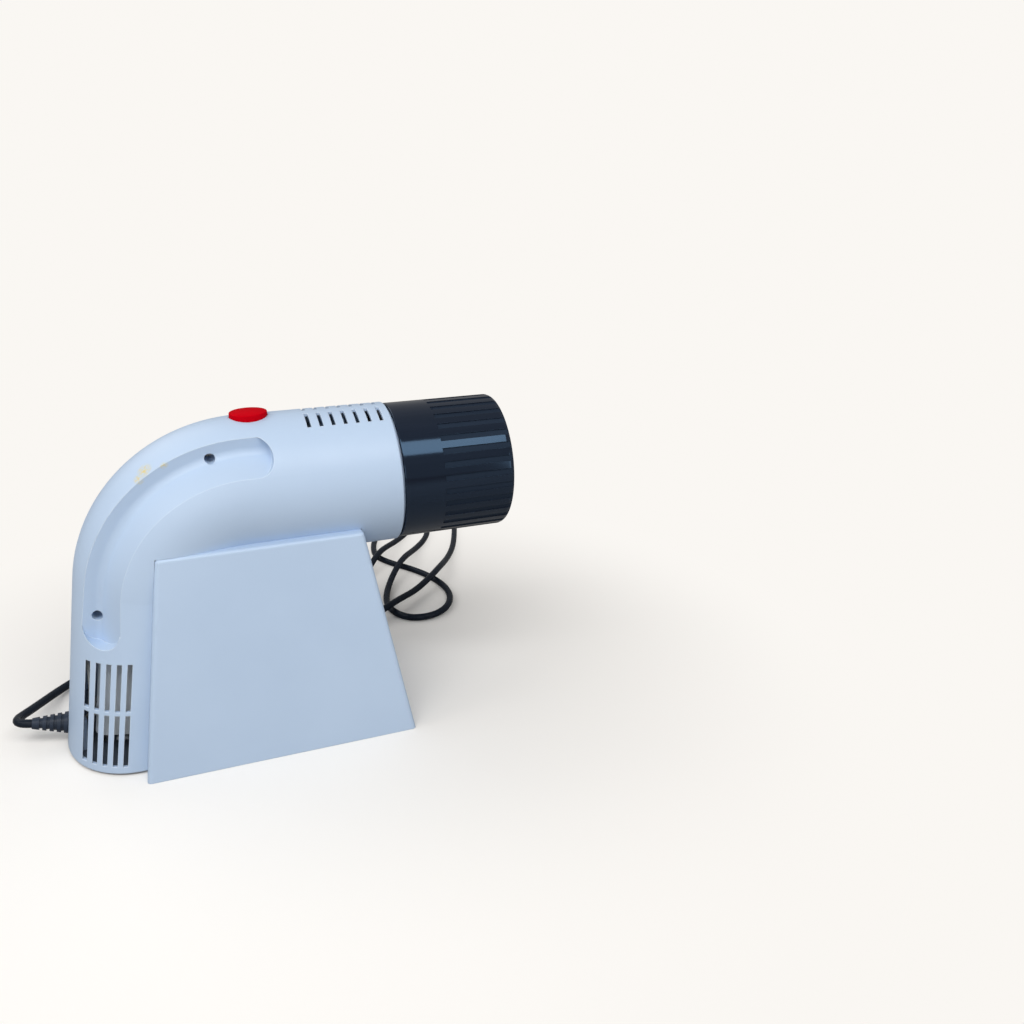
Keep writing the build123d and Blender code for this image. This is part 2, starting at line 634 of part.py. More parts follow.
def focus_tube():
    x0 = wall_rear_x - NECK_FLANGE_T
    tube = rod(NECK_R, x0, neck_front_x)
    tube += rod(NECK_FLANGE_R, x0, wall_rear_x)
    tube += rod(NECK_R + STOP_BEAD, neck_front_x - BEAD_LENGTH, neck_front_x)
    return tube - rod(NECK_R - NECK_T, x0 - CUT, neck_front_x + CUT)


def focus_liner():
    """Friction ring on the focus tube; the barrel turns on it, in a groove of its bore."""
    outer = BARREL_BORE_R + LINER_GROOVE - SEAT
    return ring(outer, NECK_R + RUNNING, liner_rear_x + SEAT, liner_front_x - SEAT)


def lens_barrel():
    body = rod(BARREL_R, barrel_rear_x, front_x)
    front_edge = body.edges().filter_by(GeomType.CIRCLE).sort_by(Axis.X)[-1]
    body = fillet(front_edge, BARREL_FRONT_ROUND)
    rear_edge = body.edges().filter_by(GeomType.CIRCLE).sort_by(Axis.X)[0]
    body = fillet(rear_edge, BARREL_REAR_ROUND)
    groove_x0 = barrel_rear_x + BARREL_SMOOTH
    band = ring(BARREL_R + CUT, BARREL_R - GROOVE_DEPTH, groove_x0, front_x - BARREL_FRONT_ROUND / 2)
    pitch = 2 * pi * BARREL_R / GRIP_RIBS
    length = front_x - groove_x0
    cutters = []
    for index in range(GRIP_RIBS):
        bar = Box(length, pitch * GROOVE_SHARE, 2 * CUT)
        turn = Rot(360 * (index + 0.5) / GRIP_RIBS, 0, 0)
        place = Pos(groove_x0 + length / 2, 0, TUBE_AXIS_Z) * turn * Pos(0, 0, BARREL_R)
        cutters.append(place * bar & band)
    body -= cutters
    body -= rod(BARREL_BORE_R, barrel_rear_x - CUT, flange_rear_x)
    body -= rod(BARREL_BORE_R + LINER_GROOVE, liner_rear_x, liner_front_x)
    body -= rod(APERTURE_R, flange_rear_x - CUT, front_x + CUT)
    bevel = Pos(front_x - FRONT_BEVEL / 2, 0, TUBE_AXIS_Z) * Rot(0, 90, 0)
    bevel *= Cone(APERTURE_R, BARREL_R - BARREL_FRONT_ROUND, FRONT_BEVEL)
    return body - bevel


lens_flat_front_x = flange_rear_x - CELL_LIP_T
spacer_front_x = lens_flat_front_x - LENS_EDGE
spacer_rear_x = spacer_front_x - 2 * LENS_SAG - LENS_AIR
lens_flat_rear_x = spacer_rear_x - LENS_EDGE
cell_rear_x = lens_flat_rear_x - RETAINER_T
cell_bore_r = LENS_R + LENS_GAP
lens_ball_r = (LENS_R ** 2 + LENS_SAG ** 2) / (2 * LENS_SAG)


def lens_cell():
    body = rod(BARREL_BORE_R - FIT, cell_rear_x, flange_rear_x)
    body -= rod(cell_bore_r, cell_rear_x - CUT, lens_flat_front_x)
    return body - rod(CELL_LIP_R, cell_rear_x - CUT, flange_rear_x + CUT)


def lens(flat_x, way):
    """Plano-convex lens; way is the direction of its convex side along X."""
    edge_x = flat_x + way * LENS_EDGE
    top_x = edge_x + way * LENS_SAG
    ball = Pos(top_x - way * lens_ball_r, 0, TUBE_AXIS_Z) * Sphere(lens_ball_r)
    return rod(LENS_R, min(flat_x, top_x), max(flat_x, top_x)) & ball


def lens_spacer():
    """Ring whose inner edge bears on both curved faces."""
    ball_r = lens_ball_r
    bulge = sqrt(ball_r ** 2 - SPACER_R ** 2) - sqrt(ball_r ** 2 - LENS_R ** 2)
    return ring(LENS_R, SPACER_R, spacer_rear_x + bulge, spacer_front_x - bulge)


def lens_retainer():
    return ring(cell_bore_r - SEAT, CELL_LIP_R, cell_rear_x, lens_flat_rear_x)


# ---------------------------------------------------------------- mirror and its bracket
def mirror_outline():
    slope = MIRROR_HIGH - MIRROR_SHOULDER
    return make_face(Polyline(
        (-MIRROR_LOW, -MIRROR_HALF), (slope, -MIRROR_HALF), (MIRROR_HIGH, -MIRROR_TOP_HALF),
        (MIRROR_HIGH, MIRROR_TOP_HALF), (slope, MIRROR_HALF), (-MIRROR_LOW, MIRROR_HALF),
        close=True))


def front_mirror():
    return extrude(mirror_frame * mirror_outline(), amount=MIRROR_T)


def mirror_bracket():
    """Sheet behind the mirror, with an ear folded back at each side."""
    sheet = extrude(mirror_frame.offset(MIRROR_T) * mirror_outline(), amount=SHEET_T)
    ear_length = BRACKET_EAR_HIGH - BRACKET_EAR_LOW
    ear_mid = (BRACKET_EAR_HIGH + BRACKET_EAR_LOW) / 2
    for side in (-1, 1):
        reach = BRACKET_EAR_Y + SHEET_T - MIRROR_HALF
        tongue = Pos(ear_mid, side * (MIRROR_HALF + reach / 2), MIRROR_T + SHEET_T / 2)
        sheet += mirror_frame * tongue * Box(ear_length, reach, SHEET_T)
        depth = BRACKET_EAR_DEPTH - MIRROR_T
        ear = Pos(ear_mid, side * (BRACKET_EAR_Y + SHEET_T / 2), MIRROR_T + depth / 2)
        sheet += mirror_frame * ear * Box(ear_length, SHEET_T, depth)
    for x, z in peg_places():
        sheet -= cross_bar(x, z, -BIG, BIG, PEG_R + RUNNING)
    return sheet


# ---------------------------------------------------------------- button and switch
button_roof_z = BUTTON_TOP_Z - BUTTON_EDGE_DROP - BUTTON_WALL
shelf_top_z = SHELF_Z + SHELF_T
nut_top_z = shelf_top_z + SWITCH_NUT_T


def power_button():
    """Domed cap, hollow below, with a retaining flange and a stem down to the plunger."""
    edge_z = BUTTON_TOP_Z - BUTTON_EDGE_DROP
    round_r = BUTTON_EDGE_ROUND
    flange_top = BUTTON_FLANGE_Z + BUTTON_FLANGE_T
    top = ThreePointArc((0, BUTTON_TOP_Z), (0.5 * BUTTON_R, BUTTON_TOP_Z - 0.25 * BUTTON_EDGE_DROP),
                        (BUTTON_R - round_r, edge_z))
    corner = RadiusArc(top @ 1, (BUTTON_R, edge_z - round_r), round_r)
    low = Polyline(corner @ 1, (BUTTON_R, flange_top), (BUTTON_FLANGE_R, flange_top),
                   (BUTTON_FLANGE_R, BUTTON_FLANGE_Z), (BUTTON_R - BUTTON_WALL, BUTTON_FLANGE_Z),
                   (BUTTON_R - BUTTON_WALL, button_roof_z), (BUTTON_STEM_R, button_roof_z),
                   (BUTTON_STEM_R, PLUNGER_TOP_Z), (0, PLUNGER_TOP_Z), (0, BUTTON_TOP_Z))
    outline = make_face(Curve() + [top, corner, low])
    return Pos(BUTTON_X, 0, 0) * revolve(Plane.XZ * outline, axis=Axis.Z)


def power_switch():
    body = slab(BUTTON_X - SWITCH_LENGTH / 2, BUTTON_X + SWITCH_LENGTH / 2,
                -SWITCH_WIDTH / 2, SWITCH_WIDTH / 2, SHELF_Z - SWITCH_HEIGHT, SHELF_Z)
    body += post(BUTTON_X, 0, SHELF_Z, nut_top_z + SWITCH_NECK_ABOVE, SWITCH_NECK_R)
    hole_z = PLUNGER_TOP_Z - PLUNGER_LENGTH - BUTTON_TRAVEL - HOLE_EXTRA
    return body - post(BUTTON_X, 0, hole_z, BIG, PLUNGER_R + RUNNING)


def switch_nut():
    nut = post(BUTTON_X, 0, shelf_top_z, nut_top_z, SWITCH_NUT_R)
    hexagon = extrude(Plane((BUTTON_X, 0, shelf_top_z)) * RegularPolygon(SWITCH_NUT_R, 6), SWITCH_NUT_T)
    return (nut & hexagon) - post(BUTTON_X, 0, 0, BIG, SWITCH_NECK_R + RUNNING)


def switch_plunger():
    z0 = PLUNGER_TOP_Z - PLUNGER_LENGTH
    return post(BUTTON_X, 0, z0, PLUNGER_TOP_Z, PLUNGER_R)


def button_spring():
    low = shelf_top_z + SPRING_WIRE_R
    high = button_roof_z - SPRING_WIRE_R
    path = Pos(BUTTON_X, 0, low) * Helix((high - low) / SPRING_TURNS, high - low, SPRING_R)
    section = Plane(origin=path @ 0, z_dir=path % 0) * Circle(SPRING_WIRE_R)
    return sweep(section, path=path)


# ---------------------------------------------------------------- lamp in the column
bracket_top_h = BRACKET_H + SHEET_T
lamp_base_h = bracket_top_h + SOCKET_FLOOR


def socket_bracket():
    """Steel strap across the column, with an upturned ear at each side."""
    width = 2 * (LAMP_EAR_Y + SHEET_T)
    strap = column * Pos(0, 0, BRACKET_H + SHEET_T / 2) * Box(2 * BRACKET_HALF, width, SHEET_T)
    x, z = ear_screw_place()
    for side in (-1, 1):
        place = Pos(0, side * (LAMP_EAR_Y + SHEET_T / 2), BRACKET_H + LAMP_EAR_H / 2)
        strap += column * place * Box(2 * LAMP_EAR_HALF, SHEET_T, LAMP_EAR_H)
    strap -= cross_bar(x, z, -BIG, BIG, SCREW_R + FIT)
    leg = Pos(-(BRACKET_HALF + SHIELD_REAR) / 2, 0, BRACKET_H + SHEET_T / 2)
    strap += column * leg * Box(SHIELD_REAR - BRACKET_HALF, 2 * SHIELD_LEG_HALF, SHEET_T)
    return strap


def lamp_socket():
    """Socket with a flat block of terminals at its rear."""
    body = column * Pos(0, 0, bracket_top_h + SOCKET_H / 2) * Cylinder(SOCKET_R, SOCKET_H)
    depth = TERMINAL_X - SOCKET_R + TERMINAL_BLOCK_SINK
    block = Box(depth, TERMINAL_BLOCK_WIDTH, TERMINAL_BLOCK_H)
    block = Pos(-TERMINAL_X + depth / 2, 0, TERMINAL_H) * block
    body += column * block
    return body - column * Pos(0, 0, lamp_base_h + SOCKET_H) * Cylinder(LAMP_CAP_R + FIT, 2 * SOCKET_H)


def lamp_cap():
    cap = Cylinder(LAMP_CAP_R, LAMP_CAP_H)
    cap -= Pos(0, 0, LAMP_CAP_FLOOR) * Cylinder(LAMP_CAP_R - LAMP_CAP_T, LAMP_CAP_H)
    return column * Pos(0, 0, lamp_base_h + LAMP_CAP_H / 2) * cap


def bulb_solid(inset):
    """Pear shape: a ball that runs down into the cap."""
    ball_h = BULB_H - BULB_R
    r = BULB_R - inset
    turn = radians(BULB_SHOULDER)
    foot = (LAMP_CAP_R - BULB_NECK_GAP - inset, 0)
    neck = (LAMP_CAP_R + BULB_NECK_FLARE - inset, BULB_NECK_H)
    shoulder = (r * cos(turn), ball_h - r * sin(turn))
    side_line = Spline(foot, neck, shoulder, tangents=((0, 1), (sin(turn), cos(turn))))
    crown = CenterArc((0, ball_h), r, -BULB_SHOULDER, 90 + BULB_SHOULDER)
    closing = [Line((0, ball_h + r), (0, 0)), Line((0, 0), foot)]
    outline = make_face(Curve() + [side_line, crown] + closing)
    return revolve(Plane.XZ * outline, axis=Axis.Z)


def lamp_bulb():
    glass = bulb_solid(0) - bulb_solid(BULB_WALL)
    return column * Pos(0, 0, lamp_base_h + LAMP_CAP_H) * glass


def lamp_shield():
    """U of thin sheet behind and beside the lamp, on one leg."""
    depth = SHIELD_REAR - SHIELD_FRONT
    outside = RectangleRounded(2 * depth, 2 * SHIELD_HALF, SHIELD_CORNER_R)
    inside = offset(outside, amount=-SHIELD_T)
    height = SHIELD_TOP - SHIELD_LOW
    wall = extrude(outside - inside, amount=height)
    wall &= Pos(-depth / 2, 0, height / 2) * Box(depth, 3 * SHIELD_HALF, 2 * height)
    shield = column * Pos(-SHIELD_FRONT, 0, SHIELD_LOW) * wall
    leg_h = SHIELD_LOW + 2 - bracket_top_h
    leg = Box(SHIELD_T, 2 * SHIELD_LEG_HALF, leg_h)
    return shield + column * Pos(-SHIELD_REAR + SHIELD_T / 2, 0, bracket_top_h + leg_h / 2) * leg


# ---------------------------------------------------------------- fasteners
def case_screws():
    screws = []
    for x, z in grip_screw_places:
        screws.append(Pos(x, -CASE_HEAD_DEPTH, z) * Rot(-90, 0, 0) * screw(CASE_SCREW_LENGTH))
    return Compound(children=screws)


def base_screws():
    screws = []
    for x, y in base_boss_places:
        screws.append(Pos(x, y, PLATE_Z + SCREW_HEAD_T) * screw(BASE_SCREW_LENGTH))
    return Compound(children=screws)


def tab_screws():
    screws = []
    for x in tab_xs:
        for side in (-1, 1):
            place = Pos(x, side * tab_boss_y(x), HOOD_HEIGHT - WALL)
            screws.append(place * screw(TAB_SCREW_LENGTH))
    return Compound(children=screws)


def ear_screws():
    x, z = ear_screw_place()
    screws = []
    for side in (-1, 1):
        screws.append(Pos(x, side * LAMP_EAR_Y, z) * Rot(-90 * side, 0, 0) * screw(EAR_SCREW_LENGTH))
    return Compound(children=screws)


# ---------------------------------------------------------------- strain relief
relief_tip_x = TUBE_R + SEAT + RELIEF_LENGTH
inner_face = TUBE_R - WALL - RELIEF_WAIST_GAP


def strain_relief():
    """Ribbed sleeve held in the column's rear wall between its flange and its root."""
    root = TUBE_R + SEAT
    tip = relief_tip_x
    sleeve = column * Pos(-(root + tip) / 2, 0, RELIEF_H) * Rot(0, -90, 0)
    sleeve *= Cone(RELIEF_R, RELIEF_TIP_R, RELIEF_LENGTH)
    pitch = RELIEF_LENGTH / RELIEF_RIBS
    groove = 1 - RELIEF_RIB_SHARE
    for index in range(RELIEF_RIBS - 1):
        x = root + pitch * (index + RELIEF_RIB_SHARE + groove / 2)
        r = RELIEF_R - (RELIEF_R - RELIEF_TIP_R) * (x + pitch * groove / 2 - root) / RELIEF_LENGTH
        cut = Cylinder(RELIEF_R + CUT, pitch * groove) - Cylinder(r - RELIEF_RIB_DEPTH, pitch)
        sleeve -= column * Pos(-x, 0, RELIEF_H) * Rot(0, 90, 0) * cut
    waist = Rot(0, 90, 0) * Cylinder(RELIEF_HOLE_R - SEAT, root - inner_face)
    sleeve += column * Pos(-(root + inner_face) / 2, 0, RELIEF_H) * waist
    flange_x = inner_face - RELIEF_FLANGE_T / 2
    flange = Rot(0, 90, 0) * Cylinder(RELIEF_FLANGE_R, RELIEF_FLANGE_T)
    return sleeve + column * Pos(-flange_x, 0, RELIEF_H) * flange


# ---------------------------------------------------------------- leads inside the housing
lead_start_x = inner_face - RELIEF_FLANGE_T
switch_rear_x = BUTTON_X - SWITCH_LENGTH / 2
lead_end_z = SHELF_Z - LEAD_DROP
wall_r = TUBE_R - WALL - LEAD_OFF_WALL


def in_column(x, y, h):
    """Point of the column frame as a point of the part."""
    spot = column.from_local_coords(Vector(x, y, h))
    return spot.X, spot.Y, spot.Z


def bend_run(y):
    """The leads' way from the switch over the bend, along the rear wall."""
    points = [(switch_rear_x, y, lead_end_z), (switch_rear_x - 19.5, y, lead_end_z)]
    for r, degrees in ((34.0, 24), (45.0, 37), (wall_r, 52), (wall_r, 68)):
        x, z = on_bend(r, degrees)
        points.append((x, 1.25 * y, z))
    return points


def lead_neutral_route():
    return [
        in_column(-lead_start_x, 3, RELIEF_H), in_column(-44, 3, RELIEF_H),
        in_column(-39, 9, 8), in_column(-37, 17, 14), in_column(-30, 17, 20),
        in_column(-26.5, 10, 22.5), in_column(-26, TERMINAL_Y, TERMINAL_H),
        in_column(-TERMINAL_X, TERMINAL_Y, TERMINAL_H)]


def lead_line_route():
    return bend_run(4) + [
        in_column(-wall_r, 4.5, 121), in_column(-wall_r, 5, 97), in_column(-wall_r, 3, 73),
        in_column(-wall_r, 4, 50), in_column(-wall_r, 2.5, 32), in_column(-46.5, 0, 18),
        in_column(-44.5, -2.5, 9), in_column(-45, -3, RELIEF_H),
        in_column(-lead_start_x, -3, RELIEF_H)]


def lead_switched_route():
    return bend_run(-4) + [
        in_column(-wall_r, -5.5, 121), in_column(-wall_r, -8, 99), in_column(-46, -15, 81),
        in_column(-41, -27, 62), in_column(-39, -31, 46), in_column(-40, -27, 31),
        in_column(-37, -20, 20.5), in_column(-30, -15, 21), in_column(-26.5, -10, 22.5),
        in_column(-26, -TERMINAL_Y, TERMINAL_H), in_column(-TERMINAL_X, -TERMINAL_Y, TERMINAL_H)]


# ---------------------------------------------------------------- mains cord, coil and plug
low = CORD_R + CORD_TABLE_GAP   # the cord's middle where it lies on the table
over = 12.9                     # and where it rides over another strand
coil_y = COIL_ENTRY_Y - COIL_R - COIL_SPREAD / 2
coil_exit_y = coil_y + COIL_R
coil_top_z = low + COIL_PITCH
plug_neck_x = COIL_X - COIL_STUB_OUT
plug_rear_x = plug_neck_x - PLUG_NECK_LENGTH
plug_face_x = plug_rear_x - PLUG_LENGTH


def cord_route():
    """From the strain relief round behind the hood, through the loops beside it, to the coil."""
    tip = in_column(-relief_tip_x, 0, RELIEF_H)
    straight = in_column(-relief_tip_x - 5.2, 0, RELIEF_H)
    return [
        tip, straight, (-208.6, 3.4, 20.7), (-210.2, 10.6, 19.3), (-208, 19.8, 16.8),
        (-203.2, 32, 13.8), (-197, 50, 9.5), (-184.5, 77, 4.6), (-166, 99, low), (-131, 113, low),
        (-84, 108, low), (-32, 108, low), (20, 101, low), (67, 101, low), (101, 114, over),
        (119, 127, over), (141, 144, low), (163, 168, over), (178, 188, over), (198, 222, low),
        (217, 263, low), (231, 303, low), (242, 341, low), (247, 372, low), (247, 398, low),
        (232.5, 412.5, low), (212.5, 412.5, low), (198, 398, low), (200, 371, low),
        (206, 345, low), (201, 315, low), (183, 284, low), (161, 250, low), (152, 232, over),
        (139, 212, over), (120, 181, low), (109.5, 150, low), (108, 122, low), (121, 98, low),
        (146, 95, low), (167, 112, low), (176.5, 143, low), (171, 178, low), (156, 210, low),
        (135, 238, low), (124, 262, low), (128, 292, low), (138, 320, low), (142.5, 345, low),
        (142.5, 367.5, low), (155.7, 381, low), (174.5, 381, low), (188, 367.5, low),
        (188, 345, low), (174, 318, low), (155, 292, low), (134, 262, over), (121, 243, over),
        (108, 222, low), (86, COIL_ENTRY_Y, low), (COIL_X + COIL_STUB_IN, COIL_ENTRY_Y, low)]


def cord_coil():
    """Outer shape of one turn on the other, with the straight cord that leads in and out."""
    width = COIL_SPREAD + 2 * (CORD_R - SEAT)
    height = COIL_PITCH + 2 * (CORD_R - SEAT)
    section = Pos(COIL_R, low + COIL_PITCH / 2) * RectangleRounded(width, height, CORD_R - 2 * SEAT)
    turns = Pos(COIL_X, coil_y, 0) * revolve(Plane.XZ * section, axis=Axis.Z)
    stub_in = Rot(0, 90, 0) * Cylinder(CORD_R, COIL_STUB_IN)
    turns += Pos(COIL_X + COIL_STUB_IN / 2, COIL_ENTRY_Y, low) * stub_in
    stub_out = Rot(0, 90, 0) * Cylinder(CORD_R, COIL_STUB_OUT)
    return turns + Pos(COIL_X - COIL_STUB_OUT / 2, coil_exit_y, coil_top_z) * stub_out


def plug_body():
    block = Box(PLUG_LENGTH, PLUG_WIDTH, PLUG_HEIGHT)
    block = Pos(plug_face_x + PLUG_LENGTH / 2, coil_exit_y, coil_top_z) * block
    block = fillet(block.edges().filter_by(Axis.X), PLUG_ROUND)
    block = fillet(block.faces().sort_by(Axis.X)[-1].edges(), PLUG_REAR_ROUND)
    neck = Rot(0, 90, 0) * Cone(PLUG_NECK_ROOT_R, PLUG_NECK_R, PLUG_NECK_LENGTH)
    return block + Pos(plug_rear_x + PLUG_NECK_LENGTH / 2, coil_exit_y, coil_top_z) * neck


def plug_blades():
    blades = []
    for side in (-1, 1):
        y = coil_exit_y + side * BLADE_SPREAD / 2
        blade = Box(BLADE_LENGTH, BLADE_T, BLADE_WIDTH)
        blade = fillet(blade.edges().filter_by(Axis.Y).sort_by(Axis.X)[:2], BLADE_ROUND)
        blades.append(Pos(plug_face_x - BLADE_LENGTH / 2, y, coil_top_z) * blade)
    return Compound(children=blades)


def cord(points, radius, name):
    """Tube along a route; prints its radii and compares its volume with section times length."""
    radii = bend_radii(points)
    solid = tube_along(points, radii, radius)
    length = FilletPolyline(*points, radius=radii).length
    print(name, "radii", [round(r, 1) for r in radii])
    print(name, "length", round(length, 1), "volume", round(solid.volume, 1),
          "section x length", round(pi * radius ** 2 * length, 1))
    return solid


def write(name, shape):
    export_step(shape, f"parts/{name}.step")


os.makedirs("parts", exist_ok=True)
write("housing_right", housing(-1))
write("housing_left", housing(1))
write("copy_hood", copy_hood())
write("base_plate", base_plate())
write("copy_glass", copy_glass())
write("focus_tube", focus_tube())
write("focus_liner", focus_liner())
write("lens_barrel", lens_barrel())
write("lens_cell", lens_cell())
write("front_lens", lens(lens_flat_front_x, -1))
write("rear_lens", lens(lens_flat_rear_x, 1))
write("lens_spacer", lens_spacer())
write("lens_retainer", lens_retainer())
write("mirror", front_mirror())
write("mirror_bracket", mirror_bracket())
write("power_button", power_button())
write("power_switch", power_switch())
write("switch_nut", switch_nut())
write("switch_plunger", switch_plunger())
write("button_spring", button_spring())
write("socket_bracket", socket_bracket())
write("lamp_socket", lamp_socket())
write("lamp_cap", lamp_cap())
write("lamp_bulb", lamp_bulb())
write("lamp_shield", lamp_shield())
write("case_screws", case_screws())
write("base_screws", base_screws())
write("tab_screws", tab_screws())
write("ear_screws", ear_screws())
write("strain_relief", strain_relief())
write("lead_neutral", cord(lead_neutral_route(), LEAD_R, "lead_neutral"))
write("lead_line", cord(lead_line_route(), LEAD_R, "lead_line"))
write("lead_switched", cord(lead_switched_route(), LEAD_R, "lead_switched"))
write("power_cord", cord(cord_route(), CORD_R, "power_cord"))
write("cord_coil", cord_coil())
write("plug_body", plug_body())
write("plug_blades", plug_blades())
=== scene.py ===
import bpy
import bmesh
from math import cos, pi, radians, sin, sqrt
from mathutils import Matrix, Vector


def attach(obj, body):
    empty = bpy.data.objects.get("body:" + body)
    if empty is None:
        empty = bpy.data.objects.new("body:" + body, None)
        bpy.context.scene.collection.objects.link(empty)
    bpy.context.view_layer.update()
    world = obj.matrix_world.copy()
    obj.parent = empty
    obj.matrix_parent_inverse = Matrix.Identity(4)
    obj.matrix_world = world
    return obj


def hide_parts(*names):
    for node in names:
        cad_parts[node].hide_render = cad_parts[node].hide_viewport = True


bl_info = {
    "name": "Opaque Projector",
    "version": (1, 0, 0),
    "blender": (4, 5, 0),
    "location": "View3D > Sidebar > Projector",
    "description": "Dresses the opaque projector: finishes, mains cord, lamp shield and studio",
    "category": "Object",
}

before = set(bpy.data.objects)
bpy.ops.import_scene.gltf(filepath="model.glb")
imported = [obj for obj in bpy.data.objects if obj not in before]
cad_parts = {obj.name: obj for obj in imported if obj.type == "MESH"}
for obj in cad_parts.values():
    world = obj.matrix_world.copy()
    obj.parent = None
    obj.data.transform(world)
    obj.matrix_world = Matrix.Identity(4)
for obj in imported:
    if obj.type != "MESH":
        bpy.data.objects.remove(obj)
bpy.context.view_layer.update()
MM = 0.001


# ---------------------------------------------------------------- sizes and colours to change
class ShellSettings(bpy.types.PropertyGroup):
    colour: bpy.props.FloatVectorProperty(
        name="Shell colour", description="Moulded plastic of the housing and hood",
        subtype="COLOR", size=3, min=0, max=1, default=(0.490, 0.610, 0.775))
    shade: bpy.props.FloatVectorProperty(
        name="Shell shade", description="Slightly greyer tone that drifts across the moulding",
        subtype="COLOR", size=3, min=0, max=1, default=(0.462, 0.580, 0.745))
    roughness: bpy.props.FloatProperty(
        name="Shell roughness", description="Roughness of the moulded surface",
        subtype="FACTOR", min=0, max=1, default=0.42)
    edge: bpy.props.FloatProperty(
        name="Edge softness", description="How far the light rolls over the mouldings' edges",
        subtype="DISTANCE", unit="LENGTH", min=0, max=0.005, default=0.0009)


class BarrelSettings(bpy.types.PropertyGroup):
    colour: bpy.props.FloatVectorProperty(
        name="Barrel colour", description="Glossy plastic of the lens barrel",
        subtype="COLOR", size=3, min=0, max=1, default=(0.008, 0.010, 0.018))
    roughness: bpy.props.FloatProperty(
        name="Barrel roughness", description="Roughness of the barrel's gloss",
        subtype="FACTOR", min=0, max=1, default=0.11)


class ButtonSettings(bpy.types.PropertyGroup):
    colour: bpy.props.FloatVectorProperty(
        name="Button colour", description="Red of the push button",
        subtype="COLOR", size=3, min=0, max=1, default=(0.56, 0.0005, 0.007))


class CordSettings(bpy.types.PropertyGroup):
    diameter: bpy.props.FloatProperty(
        name="Cord diameter", description="Outside of the mains cord's sheath",
        subtype="DISTANCE", unit="LENGTH", min=0.004, max=0.01, default=0.0065)
    coil_radius: bpy.props.FloatProperty(
        name="Coil radius", description="Middle of the coil's turns",
        subtype="DISTANCE", unit="LENGTH", min=0.03, max=0.06, default=0.0361)
    colour: bpy.props.FloatVectorProperty(
        name="Cord colour", description="Black flexible sheath; the relief and plug are paler",
        subtype="COLOR", size=3, min=0, max=1, default=(0.010, 0.014, 0.022))


class StudioSettings(bpy.types.PropertyGroup):
    floor: bpy.props.FloatVectorProperty(
        name="Floor colour", description="Pale warm surface that the projector stands on",
        subtype="COLOR", size=3, min=0, max=1, default=(0.955, 0.93, 0.895))
    key: bpy.props.FloatProperty(
        name="Key light", description="Power of the long soft lamp above; the back gets a share",
        subtype="POWER", unit="POWER", min=0, max=200, default=15.6)
    side: bpy.props.FloatProperty(
        name="Side light",
        description="Power of the lamp on the column's side; front and lens side get a share",
        subtype="POWER", unit="POWER", min=0, max=200, default=3.2)
    fill: bpy.props.FloatProperty(
        name="Fill light", description="Strength of the even light from all round",
        min=0, max=2, default=0.32)
    bounce: bpy.props.FloatProperty(
        name="Floor bounce", description="Share of the light that the floor sends back up",
        subtype="FACTOR", min=0, max=1, default=0.4)


# ---------------------------------------------------------------- helpers for nodes
def new_material(name):
    """A material with its node tree cleared to an output and a Principled shader."""
    material = bpy.data.materials.new(name)
    material.use_nodes = True
    tree = material.node_tree
    tree.nodes.clear()
    output = tree.nodes.new("ShaderNodeOutputMaterial")
    shader = tree.nodes.new("ShaderNodeBsdfPrincipled")
    tree.links.new(shader.outputs["BSDF"], output.inputs["Surface"])
    return material, tree, shader


def feed(tree, socket, value):
    """Links a socket to another one, or sets it to a constant."""
    if isinstance(value, bpy.types.NodeSocket):
        tree.links.new(value, socket)
    else:
        socket.default_value = value


def maths(tree, operation, first, second, clamp=False):
    node = tree.nodes.new("ShaderNodeMath")
    node.operation = operation
    node.use_clamp = clamp
    feed(tree, node.inputs[0], first)
    feed(tree, node.inputs[1], second)
    return node.outputs["Value"]


def vector_maths(tree, operation, output, *values):
    node = tree.nodes.new("ShaderNodeVectorMath")
    node.operation = operation
    for socket, value in zip(node.inputs, values):
        feed(tree, socket, value)
    return node.outputs[output]


def map_range(tree, value, start, end, low=0.0, high=1.0, curve="LINEAR"):
    """A value moved from the range start to end into low to high, and kept inside it."""
    node = tree.nodes.new("ShaderNodeMapRange")
    node.interpolation_type = curve
    node.inputs["From Min"].default_value = start
    node.inputs["From Max"].default_value = end
    node.inputs["To Min"].default_value = low
    node.inputs["To Max"].default_value = high
    tree.links.new(value, node.inputs["Value"])
    return node.outputs["Result"]


def mix_shaders(tree, share, first, second):
    node = tree.nodes.new("ShaderNodeMixShader")
    for socket, value in zip(node.inputs, (share, first, second)):
        tree.links.new(value, socket)
    return node.outputs["Shader"]


def object_place(tree):
    return tree.nodes.new("ShaderNodeTexCoord").outputs["Object"]


def coordinates(tree, scale=(1, 1, 1)):
    """Object coordinates, stretched along the axes by scale."""
    mapping = tree.nodes.new("ShaderNodeMapping")
    mapping.inputs["Scale"].default_value = scale
    tree.links.new(object_place(tree), mapping.inputs["Vector"])
    return mapping.outputs["Vector"]


def noise(tree, vector, scale, detail=3.0, roughness=0.5):
    node = tree.nodes.new("ShaderNodeTexNoise")
    node.inputs["Scale"].default_value = scale
    node.inputs["Detail"].default_value = detail
    node.inputs["Roughness"].default_value = roughness
    tree.links.new(vector, node.inputs["Vector"])
    return node.outputs["Fac"]


def span(tree, pattern, low, high):
    """A noise pattern's usual values spread over the range low to high."""
    usual_least, usual_most = 0.25, 0.75
    return map_range(tree, pattern, usual_least, usual_most, low, high)


def tint(tree, shader, pattern, *stops):
    """Base colour after a pattern; stops are two of (position, colour)."""
    node = tree.nodes.new("ShaderNodeValToRGB")
    for element, (position, colour) in zip(node.color_ramp.elements, stops):
        element.position = position
        element.color = (*colour, 1)
    tree.links.new(pattern, node.inputs["Fac"])
    tree.links.new(node.outputs["Color"], shader.inputs["Base Color"])


